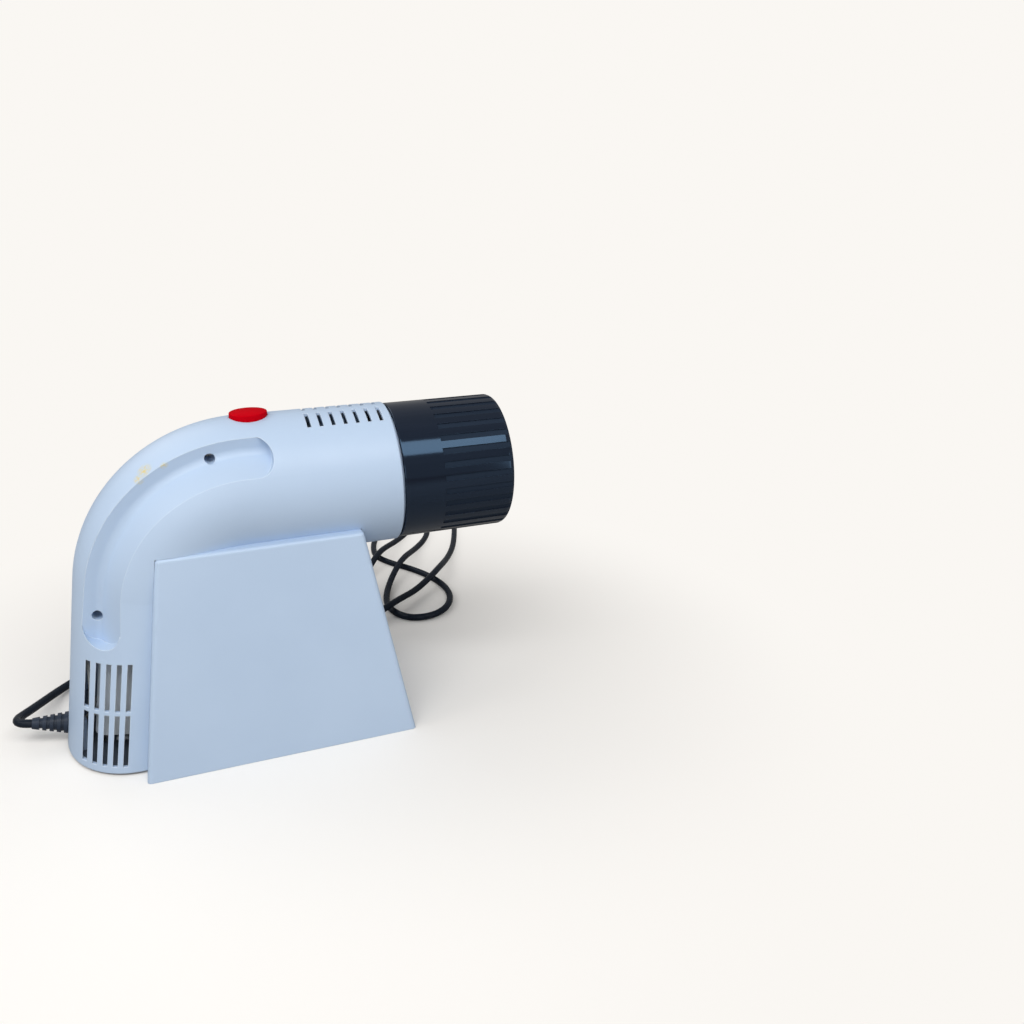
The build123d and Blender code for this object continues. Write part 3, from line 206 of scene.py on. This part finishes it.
def uneven_gloss(tree, shader, pattern, low, high):
    """Roughness between low and high, after a pattern."""
    tree.links.new(span(tree, pattern, low, high), shader.inputs["Roughness"])


def cover(tree, shader, share, tone):
    """Lays a tone over the shader's own colour, as far as share says."""
    mix = tree.nodes.new("ShaderNodeMix")
    mix.data_type = "RGBA"
    tree.links.new(share, mix.inputs["Factor"])
    tree.links.new(shader.inputs["Base Color"].links[0].from_socket, mix.inputs["A"])
    mix.inputs["B"].default_value = (*tone, 1)
    tree.links.new(mix.outputs["Result"], shader.inputs["Base Color"])


def bump(tree, shader, height, depth, strength=1.0, normal=None):
    """Relief from a height pattern; depth is the height of its full range in metres."""
    node = tree.nodes.new("ShaderNodeBump")
    node.inputs["Strength"].default_value = strength
    node.inputs["Distance"].default_value = depth
    tree.links.new(height, node.inputs["Height"])
    if normal is not None:
        tree.links.new(normal, node.inputs["Normal"])
    tree.links.new(node.outputs["Normal"], shader.inputs["Normal"])


def soft_edges(tree, radius):
    node = tree.nodes.new("ShaderNodeBevel")
    node.samples = 6
    node.inputs["Radius"].default_value = radius
    return node.outputs["Normal"]


# ---------------------------------------------------------------- finishes used more than once
def grained_plastic(name, tones, roughness, grain=1100.0, depth=0.00003, edge=0.0, drift=9.0):
    """Moulded plastic: drifting tone, fine spark-eroded grain and uneven sheen."""
    material, tree, shader = new_material(name)
    place = coordinates(tree)
    light, dark = tones
    tint(tree, shader, noise(tree, place, drift, detail=4), (0.35, dark), (0.65, light))
    uneven_gloss(tree, shader, noise(tree, place, scale=45.0, detail=5),
                 roughness - 0.05, roughness + 0.06)
    rounded = soft_edges(tree, edge) if edge else None
    bump(tree, shader, noise(tree, place, grain, detail=2), depth, strength=0.6, normal=rounded)
    return material, tree, shader


def rubbery(name, colour, roughness=0.5, grain=700.0, gloss=0.5):
    """Soft rubber or flexible plastic: faintly dusty, with a fine grain."""
    material, tree, shader = new_material(name)
    shader.inputs["Specular IOR Level"].default_value = gloss
    place = coordinates(tree)
    dusty = tuple(1.4 * channel for channel in colour)
    tint(tree, shader, noise(tree, place, scale=60.0, detail=5), (0.35, colour), (0.75, dusty))
    uneven_gloss(tree, shader, noise(tree, place, scale=120.0, detail=4),
                 roughness - 0.08, roughness + 0.1)
    bump(tree, shader, noise(tree, place, grain), depth=0.00006, strength=0.5)
    return material


def metal(name, colour, roughness, brush=(1, 1, 1), scale=400.0, metallic=1.0):
    """Metal with fine marks drawn out along the axis of the smallest brush number."""
    material, tree, shader = new_material(name)
    shader.inputs["Metallic"].default_value = metallic
    marks = noise(tree, coordinates(tree, brush), scale, detail=4, roughness=0.6)
    darker = tuple(0.8 * channel for channel in colour)
    tint(tree, shader, marks, (0.3, darker), (0.7, colour))
    uneven_gloss(tree, shader, marks, roughness - 0.06, roughness + 0.1)
    bump(tree, shader, marks, depth=0.00002, strength=0.5)
    return material


# ---------------------------------------------------------------- helpers for pieces
def dress(material, *nodes):
    """Gives CAD nodes a finish."""
    for name in nodes:
        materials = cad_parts[name].data.materials
        materials.clear()
        materials.append(material)


def settle(piece):
    """Puts a finished piece's place into its mesh."""
    bpy.ops.object.select_all(action="DESELECT")
    piece.select_set(True)
    bpy.context.view_layer.objects.active = piece
    bpy.ops.object.transform_apply(location=True, rotation=True, scale=True)


# ---------------------------------------------------------------- stage
class PROJECTOR_OT_stage(bpy.types.Operator):
    """Camera, pale floor, soft lamps and even light from all round"""
    bl_idname = "projector.stage"
    bl_label = "Stage"

    camera_place = Vector((-62.76, -682.94, 409.80)) * MM
    camera_target = Vector((192.55, 0.0, 138.54)) * MM
    camera_roll = radians(-0.3)
    focal_length = 31.895
    sensor_width = 36.0
    far_clip = 50.0

    floor_size = 40.0
    floor_roughness = 0.8
    floor_specular = 0.1
    near_tone = 0.96
    patch_tone = 0.985
    fade_start = 0.17
    fade_end = 0.48

    # name, place, size, the setting that gives the power, and the share of it
    lamps = (
        ("key", (-0.18, -0.85, 1.35), (1.9, 0.62), "key", 1.0),
        ("column_side", (-1.1, -0.1, 0.9), (0.6, 0.6), "side", 1.0),
        ("lens_side", (0.68, -0.80, 0.30), (0.5, 0.4), "side", 0.35),
        ("front", (-0.3, -1.0, 0.4), (0.5, 0.4), "side", 0.52),
        ("back", (-0.75, 1.1, 1.2), (1.1, 1.0), "key", 0.3))
    lamp_target = Vector((0, 0, 0.12))

    def camera(self, scene):
        data = bpy.data.cameras.new("camera")
        camera = bpy.data.objects.new("camera", data)
        scene.collection.objects.link(camera)
        forward = (self.camera_target - self.camera_place).normalized()
        right = forward.cross(Vector((0, 0, 1))).normalized()
        up = right.cross(forward)
        rolled_right = right * cos(self.camera_roll) + up * sin(self.camera_roll)
        rolled_up = up * cos(self.camera_roll) - right * sin(self.camera_roll)
        turn = Matrix((rolled_right, rolled_up, -forward)).transposed().to_4x4()
        camera.matrix_world = Matrix.Translation(self.camera_place) @ turn
        data.sensor_width = self.sensor_width
        data.lens = self.focal_length
        data.clip_end = self.far_clip
        scene.camera = camera

    def seen(self, tree):
        """1 for what the camera sees, by itself or through glass, and 0 for the light's bounces."""
        rays = tree.nodes.new("ShaderNodeLightPath").outputs
        return maths(tree, "MAXIMUM", rays["Is Camera Ray"], rays["Is Transmission Ray"])

    def floor(self, colour, bounce):
        """The floor as the camera sees it, over a duller one that lights the projector."""
        bpy.ops.mesh.primitive_plane_add(size=self.floor_size)
        floor = bpy.context.object
        floor.name = "floor"
        material, tree, shader = new_material("pale_table")
        near = tuple(self.near_tone * channel for channel in colour)
        patches = tuple(self.patch_tone * channel for channel in near)
        tint(tree, shader, noise(tree, coordinates(tree), scale=3.0), (0.3, patches), (0.7, near))
        shader.inputs["Roughness"].default_value = self.floor_roughness
        shader.inputs["Specular IOR Level"].default_value = self.floor_specular
        pale = self.fade(tree, shader, colour)
        dim = tree.nodes.new("ShaderNodeBsdfDiffuse")
        dim.inputs["Color"].default_value = (*(bounce * channel for channel in colour), 1)
        output = next(node for node in tree.nodes if node.type == "OUTPUT_MATERIAL")
        both = mix_shaders(tree, self.seen(tree), dim.outputs["BSDF"], pale)
        tree.links.new(both, output.inputs["Surface"])
        floor.data.materials.append(material)

    def fade(self, tree, shader, colour):
        """Away from the projector the floor turns into the even pale background."""
        distance = vector_maths(tree, "LENGTH", "Value", object_place(tree))
        away = map_range(tree, distance, self.fade_start, self.fade_end, curve="SMOOTHSTEP")
        glow = tree.nodes.new("ShaderNodeEmission")
        glow.inputs["Color"].default_value = (*colour, 1)
        return mix_shaders(tree, away, shader.outputs["BSDF"], glow.outputs["Emission"])

    def lamp(self, scene, name, place, size, power):
        data = bpy.data.lights.new(name, "AREA")
        data.shape = "RECTANGLE"
        data.size, data.size_y = size
        data.energy = power
        lamp = bpy.data.objects.new(name, data)
        lamp.location = place
        lamp.rotation_euler = (self.lamp_target - Vector(place)).to_track_quat("-Z", "Y").to_euler()
        scene.collection.objects.link(lamp)

    def world(self, scene, fill, colour):
        """Even light all round, which the camera sees as the pale background."""
        world = bpy.data.worlds.new("studio")
        scene.world = world
        world.use_nodes = True
        tree = world.node_tree
        tree.nodes.clear()
        output = tree.nodes.new("ShaderNodeOutputWorld")
        even = tree.nodes.new("ShaderNodeBackground")
        even.inputs["Color"].default_value = (1, 1, 1, 1)
        even.inputs["Strength"].default_value = fill
        pale = tree.nodes.new("ShaderNodeBackground")
        pale.inputs["Color"].default_value = (*colour, 1)
        pale.inputs["Strength"].default_value = 1.0
        both = mix_shaders(tree, self.seen(tree),
                           even.outputs["Background"], pale.outputs["Background"])
        tree.links.new(both, output.inputs["Surface"])

    def execute(self, context):
        scene = context.scene
        studio = scene.projector_studio
        scene.view_settings.view_transform = "Standard"
        self.camera(scene)
        self.floor(tuple(studio.floor), studio.bounce)
        for name, place, size, setting, share in self.lamps:
            self.lamp(scene, name, place, size, share * getattr(studio, setting))
        self.world(scene, studio.fill, tuple(studio.floor))
        return {"FINISHED"}


# ---------------------------------------------------------------- mains cord
class PROJECTOR_OT_cord(bpy.types.Operator):
    """Mains cord: from the strain relief round behind the hood, in loops beside it, and coiled"""
    bl_idname = "projector.cord"
    bl_label = "Mains cord"

    # heights of the cord's middle in millimetres: on the floor, and on the way over another strand
    low = 3.3
    slope = 5.6
    dip = 9.0
    over = 11.4

    # the coil, in millimetres
    coil_x = 10.0
    entry_y = 199.4
    coil_turns = 2
    turn_spread = 6.8
    turn_rise = 6.6
    points_per_turn = 16
    end_length = 40.0
    end_shares = (0.3, 0.65, 1.0)
    # shares of the second turn: where it starts to drift out, and where it has climbed
    drift_start = 0.45
    climb_end = 0.5

    sheath_roughness = 0.24
    sheath_gloss = 0.09
    length = 2.23

    def route(self):
        """The route's points in millimetres, from the strain relief's tip to the coil."""
        low, slope, dip, over = self.low, self.slope, self.dip, self.over
        return [
            (-198.54, 0, 19.58), (-203.66, 0, 20.5), (-208.6, 3.4, 20.7), (-210.2, 10.6, 19.3),
            (-208, 19.8, 16.8), (-203.2, 32, 13.8), (-197, 50, 9.5), (-184.5, 77, 4.6),
            (-166, 99, low), (-131, 113, low), (-84, 108, low), (-32, 108, low), (20, 101, low),
            (50, 100, low), (77, 102, slope), (101, 112, over), (119, 127, over), (141, 146, dip),
            (163, 168, over), (178, 188, over), (197, 221, slope), (215, 257, low),
            (231, 303, low), (242, 341, low),
            (247, 372, low), (247, 398, low), (232.5, 412.5, low), (212.5, 412.5, low),
            (198, 398, low), (200, 371, low), (206, 345, low), (201, 315, low), (188, 287, low),
            (168, 258, slope), (152, 232, over), (139, 212, over), (123, 185, slope),
            (109.5, 150, low), (108, 122, low), (121, 98, low), (146, 95, low), (167, 112, low),
            (176.5, 143, low), (171, 178, low), (156, 210, low), (135, 238, low),
            (124, 262, low), (128, 292, low), (138, 320, low), (142.5, 345, low),
            (142.5, 367.5, low), (155.7, 381, low), (174.5, 381, low), (188, 367.5, low),
            (188, 345, low), (176, 320, low), (155, 291, slope), (134, 262, over),
            (121, 243, over), (107, 221, slope), (86, 199.4, low), (54, 199.4, low)]

    def coil(self, radius):
        """Two turns: the first draws in to half a step inside radius, the second lies on it."""
        middle_y = self.entry_y - radius - self.turn_spread / 2
        top = self.low + self.turn_rise
        points = []
        for step in range(self.coil_turns * self.points_per_turn + 1):
            turn = step / self.points_per_turn
            angle = pi / 2 + 2 * pi * turn
            if turn <= 1:
                distance = radius + self.turn_spread * (0.5 - turn)
                height = self.low
            else:
                second = turn - 1
                drift = max(0, second - self.drift_start) / (1 - self.drift_start)
                distance = radius - self.turn_spread / 2 * (1 - drift)
                climb = 1 - min(1, second / self.climb_end)
                height = self.low + self.turn_rise * sqrt(1 - climb ** 2)
            points.append((self.coil_x + distance * cos(angle),
                           middle_y + distance * sin(angle), height))
        for share in self.end_shares:
            points.append((self.coil_x - self.end_length * share, middle_y + radius, top))
        return points

    def execute(self, context):
        settings = context.scene.projector_cord
        points = self.route() + self.coil(settings.coil_radius / MM)
        data = bpy.data.curves.new("mains_cord", "CURVE")
        data.dimensions = "3D"
        data.bevel_depth = settings.diameter / 2
        data.bevel_resolution = 4
        data.resolution_u = 6
        data.use_fill_caps = True
        spline = data.splines.new("NURBS")
        spline.points.add(len(points) - 1)
        for point, place in zip(spline.points, points):
            point.co = (*(Vector(place) * MM), 1.0)
        spline.order_u = 3
        spline.use_endpoint_u = True
        cord = bpy.data.objects.new("mains_cord", data)
        context.scene.collection.objects.link(cord)
        data.materials.append(rubbery(
            "cord_sheath", tuple(settings.colour), self.sheath_roughness, gloss=self.sheath_gloss))
        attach(cord, "body")
        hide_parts("power_cord", "cord_coil")
        return {"FINISHED"}


# ---------------------------------------------------------------- housing, hood and base
class PROJECTOR_OT_shell(bpy.types.Operator):
    """Housing halves, hood and focus tube in pale moulded plastic"""
    bl_idname = "projector.shell"
    bl_label = "Housing and hood"

    specular = 0.4

    # painted highlight on the edges: cosine of the normal's turn where it begins to show and where
    # it shows most, then its pale tone and greatest share
    edge_begins = 0.998
    edge_full = 0.93
    painted_highlight_tone = (0.80, 0.88, 0.96)
    edge_most = 0.5

    # yellowish rub marks: x, y, z and reach in millimetres
    scuff_places = (
        (-91.7, -25.2, 217.0, 6.5), (-96.0, -28.0, 212.0, 4.5), (-78.2, -31.4, 220.3, 3.6))
    scuff_tone = (0.68, 0.56, 0.22)

    # painted shade on the neck's flange: where it ends along x, and its near-black tone
    flange_front = 0.0845
    flange_painted_shade_tone = (0.02, 0.02, 0.022)

    def moulding(self, name, settings):
        tones = (tuple(settings.colour), tuple(settings.shade))
        material, tree, shader = grained_plastic(
            name, tones, settings.roughness, edge=settings.edge)
        shader.inputs["Specular IOR Level"].default_value = self.specular
        # painted highlight: a paler tone laid along the mouldings' edges
        cover(tree, shader, self.painted_highlight_share(tree), self.painted_highlight_tone)
        return material, tree, shader

    def painted_highlight_share(self, tree):
        """Painted highlight: above 0 on the edges, where the rounded normal turns away from the
        face's own.
        """
        rounded = next(node for node in tree.nodes if node.type == "BEVEL")
        face = tree.nodes.new("ShaderNodeNewGeometry")
        turn = vector_maths(tree, "DOT_PRODUCT", "Value",
                            rounded.outputs["Normal"], face.outputs["Normal"])
        return map_range(tree, turn, self.edge_begins, self.edge_full, high=self.edge_most)

    def flange_painted_shade_share(self, tree):
        """1 on the neck's flange inside the housing, which painted shade darkens to near black."""
        parts = tree.nodes.new("ShaderNodeSeparateXYZ")
        tree.links.new(object_place(tree), parts.inputs["Vector"])
        return maths(tree, "LESS_THAN", parts.outputs["X"], self.flange_front)

    def scuff_share(self, tree):
        """How strongly the patchy rub marks on the bend's outer edge show: 0 where clean."""
        patches = noise(tree, coordinates(tree), scale=420.0, detail=4, roughness=0.7)
        place = object_place(tree)
        share = 0.0
        for *middle, reach in self.scuff_places:
            distance = vector_maths(tree, "DISTANCE", "Value", place, Vector(middle) * MM)
            near = map_range(tree, distance, reach * MM, 0.0)
            share = maths(tree, "MAXIMUM", share, near)
        return maths(tree, "MULTIPLY", share, span(tree, patches, -0.5, 2.2), clamp=True)

    def execute(self, context):
        settings = context.scene.projector_shell
        shell, tree, shader = self.moulding("moulded_shell", settings)
        cover(tree, shader, self.scuff_share(tree), self.scuff_tone)
        dress(shell, "housing_right", "housing_left", "copy_hood")
        neck, tree, shader = self.moulding("moulded_neck", settings)
        # painted shade: the flange behind the slot is darkened to near black
        cover(tree, shader, self.flange_painted_shade_share(tree), self.flange_painted_shade_tone)
        dress(neck, "focus_tube")
        return {"FINISHED"}


class PROJECTOR_OT_base(bpy.types.Operator):
    """Base plate in slate plastic and the copy glass"""
    bl_idname = "projector.base"
    bl_label = "Base and copy glass"

    slate = ((0.150, 0.180, 0.225), (0.130, 0.158, 0.200))
    glass_tones = ((0.90, 0.95, 0.93), (0.95, 0.98, 0.97))
    glass_index = 1.5

    def copy_glass(self):
        """Plain glass with a faint green tint and light wiping marks."""
        glass, tree, shader = new_material("copy_glass_clear")
        shader.inputs["Transmission Weight"].default_value = 1.0
        shader.inputs["IOR"].default_value = self.glass_index
        place = coordinates(tree)
        deep, clear = self.glass_tones
        tint(tree, shader, noise(tree, place, scale=12.0), (0.3, deep), (0.7, clear))
        uneven_gloss(tree, shader, noise(tree, place, scale=60.0, detail=5), 0.01, 0.05)
        return glass

    def execute(self, context):
        plate, _, _ = grained_plastic(
            "base_plastic", self.slate, roughness=0.55, grain=600.0, depth=0.00008)
        dress(plate, "base_plate")
        dress(self.copy_glass(), "copy_glass")
        return {"FINISHED"}


# ---------------------------------------------------------------- lens barrel
class PROJECTOR_OT_barrel(bpy.types.Operator):
    """Glossy black barrel with its liner, lens cell and two lenses"""
    bl_idname = "projector.barrel"
    bl_label = "Lens barrel"

    axis_height = 0.1885
    outer_radius = 0.0536
    groove_depth = 0.0008
    groove_roughness = 0.75
    barrel_edge = 0.0002
    barrel_specular = 0.6
    cool_reflection = (0.36, 0.64, 1.0, 1)

    lens_index = 1.52
    coating_thickness = 120.0
    coating_index = 1.38
    lens_tones = ((0.95, 0.97, 0.98), (0.98, 0.99, 1.0))

    cell_tones = ((0.020, 0.020, 0.022), (0.014, 0.014, 0.016))
    felt_tones = ((0.01, 0.01, 0.011), (0.05, 0.05, 0.052))

    def ridge_share(self, tree):
        """1 on the barrel's outside and 0 in its grooves, by the distance from the axis."""
        offset = vector_maths(tree, "SUBTRACT", "Vector",
                              object_place(tree), (0, 0, self.axis_height))
        across = vector_maths(tree, "MULTIPLY", "Vector", offset, (0, 1, 1))
        radius = vector_maths(tree, "LENGTH", "Value", across)
        floor = self.outer_radius - self.groove_depth
        halfway = self.outer_radius - self.groove_depth / 2
        return map_range(tree, radius, floor, halfway)

    def gloss(self, settings):
        """Black gloss with a cool sheen, faint wiping marks along the barrel and duller grooves."""
        material, tree, shader = new_material("barrel_gloss")
        marks = noise(tree, coordinates(tree, (0.05, 1, 1)), scale=90.0, detail=4, roughness=0.6)
        dark = tuple(settings.colour)
        dusty = tuple(1.3 * channel + 0.001 for channel in dark)
        tint(tree, shader, marks, (0.4, dark), (0.8, dusty))
        mix = tree.nodes.new("ShaderNodeMix")
        mix.inputs["A"].default_value = self.groove_roughness
        tree.links.new(self.ridge_share(tree), mix.inputs["Factor"])
        haze = span(tree, marks, settings.roughness - 0.03, settings.roughness + 0.05)
        tree.links.new(haze, mix.inputs["B"])
        tree.links.new(mix.outputs["Result"], shader.inputs["Roughness"])
        shader.inputs["Specular IOR Level"].default_value = self.barrel_specular
        shader.inputs["Specular Tint"].default_value = self.cool_reflection
        tree.links.new(soft_edges(tree, self.barrel_edge), shader.inputs["Normal"])
        return material

    def lens_glass(self):
        """Coated glass with a faint bluish bloom."""
        material, tree, shader = new_material("coated_lens")
        shader.inputs["Transmission Weight"].default_value = 1.0
        shader.inputs["IOR"].default_value = self.lens_index
        shader.inputs["Thin Film Thickness"].default_value = self.coating_thickness
        shader.inputs["Thin Film IOR"].default_value = self.coating_index
        place = coordinates(tree)
        deep, clear = self.lens_tones
        tint(tree, shader, noise(tree, place, scale=20.0, detail=2), (0.3, deep), (0.7, clear))
        uneven_gloss(tree, shader, noise(tree, place, scale=80.0, detail=5), 0.0, 0.03)
        return material

    def felt(self):
        """Black felt with short stiff fibres."""
        material, tree, shader = new_material("friction_felt")
        fibres = noise(tree, coordinates(tree), scale=1400.0, detail=6, roughness=0.7)
        root, tip = self.felt_tones
        tint(tree, shader, fibres, (0.3, root), (0.7, tip))
        shader.inputs["Roughness"].default_value = 0.95
        shader.inputs["Sheen Weight"].default_value = 0.5
        bump(tree, shader, fibres, depth=0.0003)
        return material

    def execute(self, context):
        settings = context.scene.projector_barrel
        dress(self.gloss(settings), "lens_barrel")
        matt, _, _ = grained_plastic(
            "cell_plastic", self.cell_tones, roughness=0.6, grain=800.0, depth=0.00005)
        dress(matt, "lens_cell", "lens_spacer", "lens_retainer")
        dress(self.lens_glass(), "front_lens", "rear_lens")
        dress(self.felt(), "focus_liner")
        return {"FINISHED"}


class PROJECTOR_OT_mirror(bpy.types.Operator):
    """Front-silvered mirror and its zinc-plated bracket"""
    bl_idname = "projector.mirror"
    bl_label = "Mirror"

    silver = ((0.84, 0.86, 0.87), (0.90, 0.91, 0.92))
    zinc = (0.52, 0.53, 0.54)

    def execute(self, context):
        face, tree, shader = new_material("silvered_face")
        shader.inputs["Metallic"].default_value = 1.0
        place = coordinates(tree)
        dull, bright = self.silver
        tint(tree, shader, noise(tree, place, scale=30.0, detail=4), (0.3, dull), (0.7, bright))
        uneven_gloss(tree, shader, noise(tree, place, scale=50.0, detail=5), 0.01, 0.05)
        dress(face, "mirror")
        dress(metal("zinc_sheet", self.zinc, roughness=0.38, brush=(1, 1, 0.1)), "mirror_bracket")
        return {"FINISHED"}


# ---------------------------------------------------------------- button and switch
class PROJECTOR_OT_button(bpy.types.Operator):
    """Red push button with its spring and switch"""
    bl_idname = "projector.button"
    bl_label = "Button and switch"

    deeper_share = 0.86
    cap_specular = 0.01
    switch_tones = ((0.035, 0.033, 0.031), (0.025, 0.024, 0.023))
    spring_tone = (0.50, 0.51, 0.53)
    nut_tone = (0.56, 0.57, 0.58)

    def execute(self, context):
        red = tuple(context.scene.projector_button.colour)
        deeper = tuple(self.deeper_share * channel for channel in red)
        cap, _, shader = grained_plastic(
            "button_red", (red, deeper), roughness=0.55, grain=900.0, depth=0.00002,
            edge=0.0004, drift=60.0)
        shader.inputs["Specular IOR Level"].default_value = self.cap_specular
        dress(cap, "power_button")
        phenolic, _, _ = grained_plastic(
            "switch_plastic", self.switch_tones, roughness=0.4, grain=500.0, depth=0.00004)
        dress(phenolic, "power_switch", "switch_plunger")
        dress(metal("spring_wire", self.spring_tone, roughness=0.3), "button_spring")
        dress(metal("nut_plate", self.nut_tone, roughness=0.32, brush=(1, 1, 0.2)), "switch_nut")
        return {"FINISHED"}


# ---------------------------------------------------------------- lamp
class PROJECTOR_OT_lamp(bpy.types.Operator):
    """Lamp, its socket and cap, and the sheet shield behind the side slots"""
    bl_idname = "projector.lamp"
    bl_label = "Lamp"

    # the shield in metres: made upright at the origin, then leaned and put at the column's foot
    column_foot = Vector((-120.53, 0, 1.99)) * MM
    lean = radians(10.2)
    rear, front, half = 0.0346, 0.005, 0.0405
    bottom, top, sheet = 0.0152, 0.082, 0.0008
    corner, corner_segments = 0.008, 6
    leg_foot, leg_half = 0.0142, 0.012
    # least part of a face's normal along an axis for the face to look that way
    facing = 0.9

    bulb_tones = ((0.86, 0.87, 0.86), (0.93, 0.93, 0.92))
    brass = (0.66, 0.52, 0.28)
    glaze_tones = ((0.80, 0.79, 0.74), (0.74, 0.73, 0.68))
    sheet_tone = (0.86, 0.90, 0.93)
    strap_tone = (0.50, 0.51, 0.52)

    def box(self, low, high):
        """A cube drawn out between two corners and settled."""
        low, high = Vector(low), Vector(high)
        bpy.ops.object.select_all(action="DESELECT")
        bpy.ops.mesh.primitive_cube_add(size=1, location=(low + high) / 2, scale=high - low)
        made = bpy.context.object
        settle(made)
        return made

    def open_sides(self, shield):
        """Takes the top, the bottom and the front off the box."""
        bpy.ops.mesh.select_mode(type="FACE")
        mesh = bmesh.from_edit_mesh(shield.data)
        for face in mesh.faces:
            face.select_set(abs(face.normal.z) > self.facing or face.normal.x > self.facing)
        bmesh.update_edit_mesh(shield.data)
        bpy.ops.mesh.delete(type="FACE")

    def round_folds(self, shield):
        """Bevels the two upright edges at the back."""
        bpy.ops.mesh.select_mode(type="EDGE")
        mesh = bmesh.from_edit_mesh(shield.data)
        for edge in mesh.edges:
            ends = [vertex.co for vertex in edge.verts]
            upright = abs(ends[0].z - ends[1].z) > self.corner
            edge.select_set(upright and ends[0].x < -self.front - self.corner)
        bmesh.update_edit_mesh(shield.data)
        bpy.ops.mesh.bevel(offset=self.corner, offset_type="OFFSET",
                           segments=self.corner_segments, affect="EDGES")

    def shield(self, finish):
        """U of thin sheet round the lamp, on one leg."""
        shield = self.box((-self.rear, -self.half, self.bottom), (-self.front, self.half, self.top))
        shield.name = "shield_sheet"
        bpy.ops.object.mode_set(mode="EDIT")
        self.open_sides(shield)
        self.round_folds(shield)
        bpy.ops.object.mode_set(mode="OBJECT")
        bpy.ops.object.modifier_add(type="SOLIDIFY")
        shield.modifiers["Solidify"].thickness = self.sheet
        shield.modifiers["Solidify"].offset = -1
        bpy.ops.object.modifier_apply(modifier="Solidify")
        self.box((-self.rear, -self.leg_half, self.leg_foot),
                 (self.sheet - self.rear, self.leg_half, self.bottom + self.sheet))
        shield.select_set(True)
        bpy.context.view_layer.objects.active = shield
        bpy.ops.object.join()
        shield.rotation_euler = (0, self.lean, 0)
        shield.location = self.column_foot
        settle(shield)
        shield.data.materials.append(finish)
        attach(shield, "body")
        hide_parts("lamp_shield")

    def bulb_glass(self):
        """Frosted glass that lets part of the light through."""
        glass, tree, shader = new_material("frosted_bulb")
        place = coordinates(tree)
        deep, pale = self.bulb_tones
        tint(tree, shader, noise(tree, place, scale=40.0, detail=4), (0.3, deep), (0.7, pale))
        shader.inputs["Transmission Weight"].default_value = 0.6
        uneven_gloss(tree, shader, noise(tree, place, scale=300.0), 0.3, 0.45)
        bump(tree, shader, noise(tree, place, scale=900.0, detail=2), depth=0.00003)
        return glass

    def execute(self, context):
        dress(self.bulb_glass(), "lamp_bulb")
        dress(metal("cap_brass", self.brass, roughness=0.35, brush=(1, 1, 0.3)), "lamp_cap")
        glaze, _, _ = grained_plastic(
            "glazed_socket", self.glaze_tones, roughness=0.2, grain=300.0, depth=0.00005)
        dress(glaze, "lamp_socket")
        self.shield(metal("shield_sheet", self.sheet_tone, roughness=0.55,
                          brush=(1, 1, 0.06), scale=500.0, metallic=0.0))
        strap = metal("strap_steel", self.strap_tone, roughness=0.4, brush=(1, 0.1, 1))
        dress(strap, "socket_bracket")
        return {"FINISHED"}


# ---------------------------------------------------------------- leads, strain relief and plug
class PROJECTOR_OT_wiring(bpy.types.Operator):
    """Inner leads, strain relief, plug and its blades"""
    bl_idname = "projector.wiring"
    bl_label = "Leads and plug"

    pale_lead = (0.62, 0.62, 0.58)
    dark_lead = (0.02, 0.02, 0.02)
    moulded_share = 2.2
    brass = (0.70, 0.56, 0.32)

    def execute(self, context):
        sheath = context.scene.projector_cord.colour
        moulded = tuple(self.moulded_share * channel for channel in sheath)
        dress(rubbery("lead_pale", self.pale_lead, roughness=0.4), "lead_neutral", "lead_switched")
        dress(rubbery("lead_dark", self.dark_lead, roughness=0.4), "lead_line")
        dress(rubbery("moulded_rubber", moulded, roughness=0.36, gloss=0.2),
              "strain_relief", "plug_body")
        dress(metal("blade_brass", self.brass, roughness=0.28, brush=(0.1, 1, 1)), "plug_blades")
        return {"FINISHED"}


class PROJECTOR_OT_screws(bpy.types.Operator):
    """Zinc-plated screws"""
    bl_idname = "projector.screws"
    bl_label = "Screws"

    zinc = (0.42, 0.43, 0.44)

    def execute(self, context):
        plated = metal("screw_zinc", self.zinc, roughness=0.34)
        dress(plated, "case_screws", "base_screws", "tab_screws", "ear_screws")
        return {"FINISHED"}


# ---------------------------------------------------------------- panel and registration
OPERATORS = (
    PROJECTOR_OT_stage, PROJECTOR_OT_cord, PROJECTOR_OT_shell, PROJECTOR_OT_base,
    PROJECTOR_OT_barrel, PROJECTOR_OT_mirror, PROJECTOR_OT_button, PROJECTOR_OT_lamp,
    PROJECTOR_OT_wiring, PROJECTOR_OT_screws)
SETTINGS = {
    "projector_shell": ShellSettings, "projector_barrel": BarrelSettings,
    "projector_button": ButtonSettings, "projector_cord": CordSettings,
    "projector_studio": StudioSettings}


class PROJECTOR_PT_panel(bpy.types.Panel):
    """Sizes, colours and build steps of the projector"""
    bl_idname = "PROJECTOR_PT_panel"
    bl_label = "Opaque Projector"
    bl_space_type = "VIEW_3D"
    bl_region_type = "UI"
    bl_category = "Projector"

    def draw(self, context):
        layout = self.layout
        for name, group in SETTINGS.items():
            box = layout.box()
            for field in group.__annotations__:
                box.prop(getattr(context.scene, name), field)
        for operator in OPERATORS:
            layout.operator(operator.bl_idname)


def register():
    for name, group in SETTINGS.items():
        bpy.utils.register_class(group)
        setattr(bpy.types.Scene, name, bpy.props.PointerProperty(type=group))
    for operator in OPERATORS:
        bpy.utils.register_class(operator)
    bpy.utils.register_class(PROJECTOR_PT_panel)


def unregister():
    bpy.utils.unregister_class(PROJECTOR_PT_panel)
    for operator in reversed(OPERATORS):
        bpy.utils.unregister_class(operator)
    for name, group in SETTINGS.items():
        delattr(bpy.types.Scene, name)
        bpy.utils.unregister_class(group)


def main():
    register()
    for operator in OPERATORS:
        step = getattr(bpy.ops.projector, operator.bl_idname.split(".")[1])
        if step() != {"FINISHED"}:
            raise RuntimeError(operator.bl_idname + " did not finish")


if __name__ == "__main__":
    main()
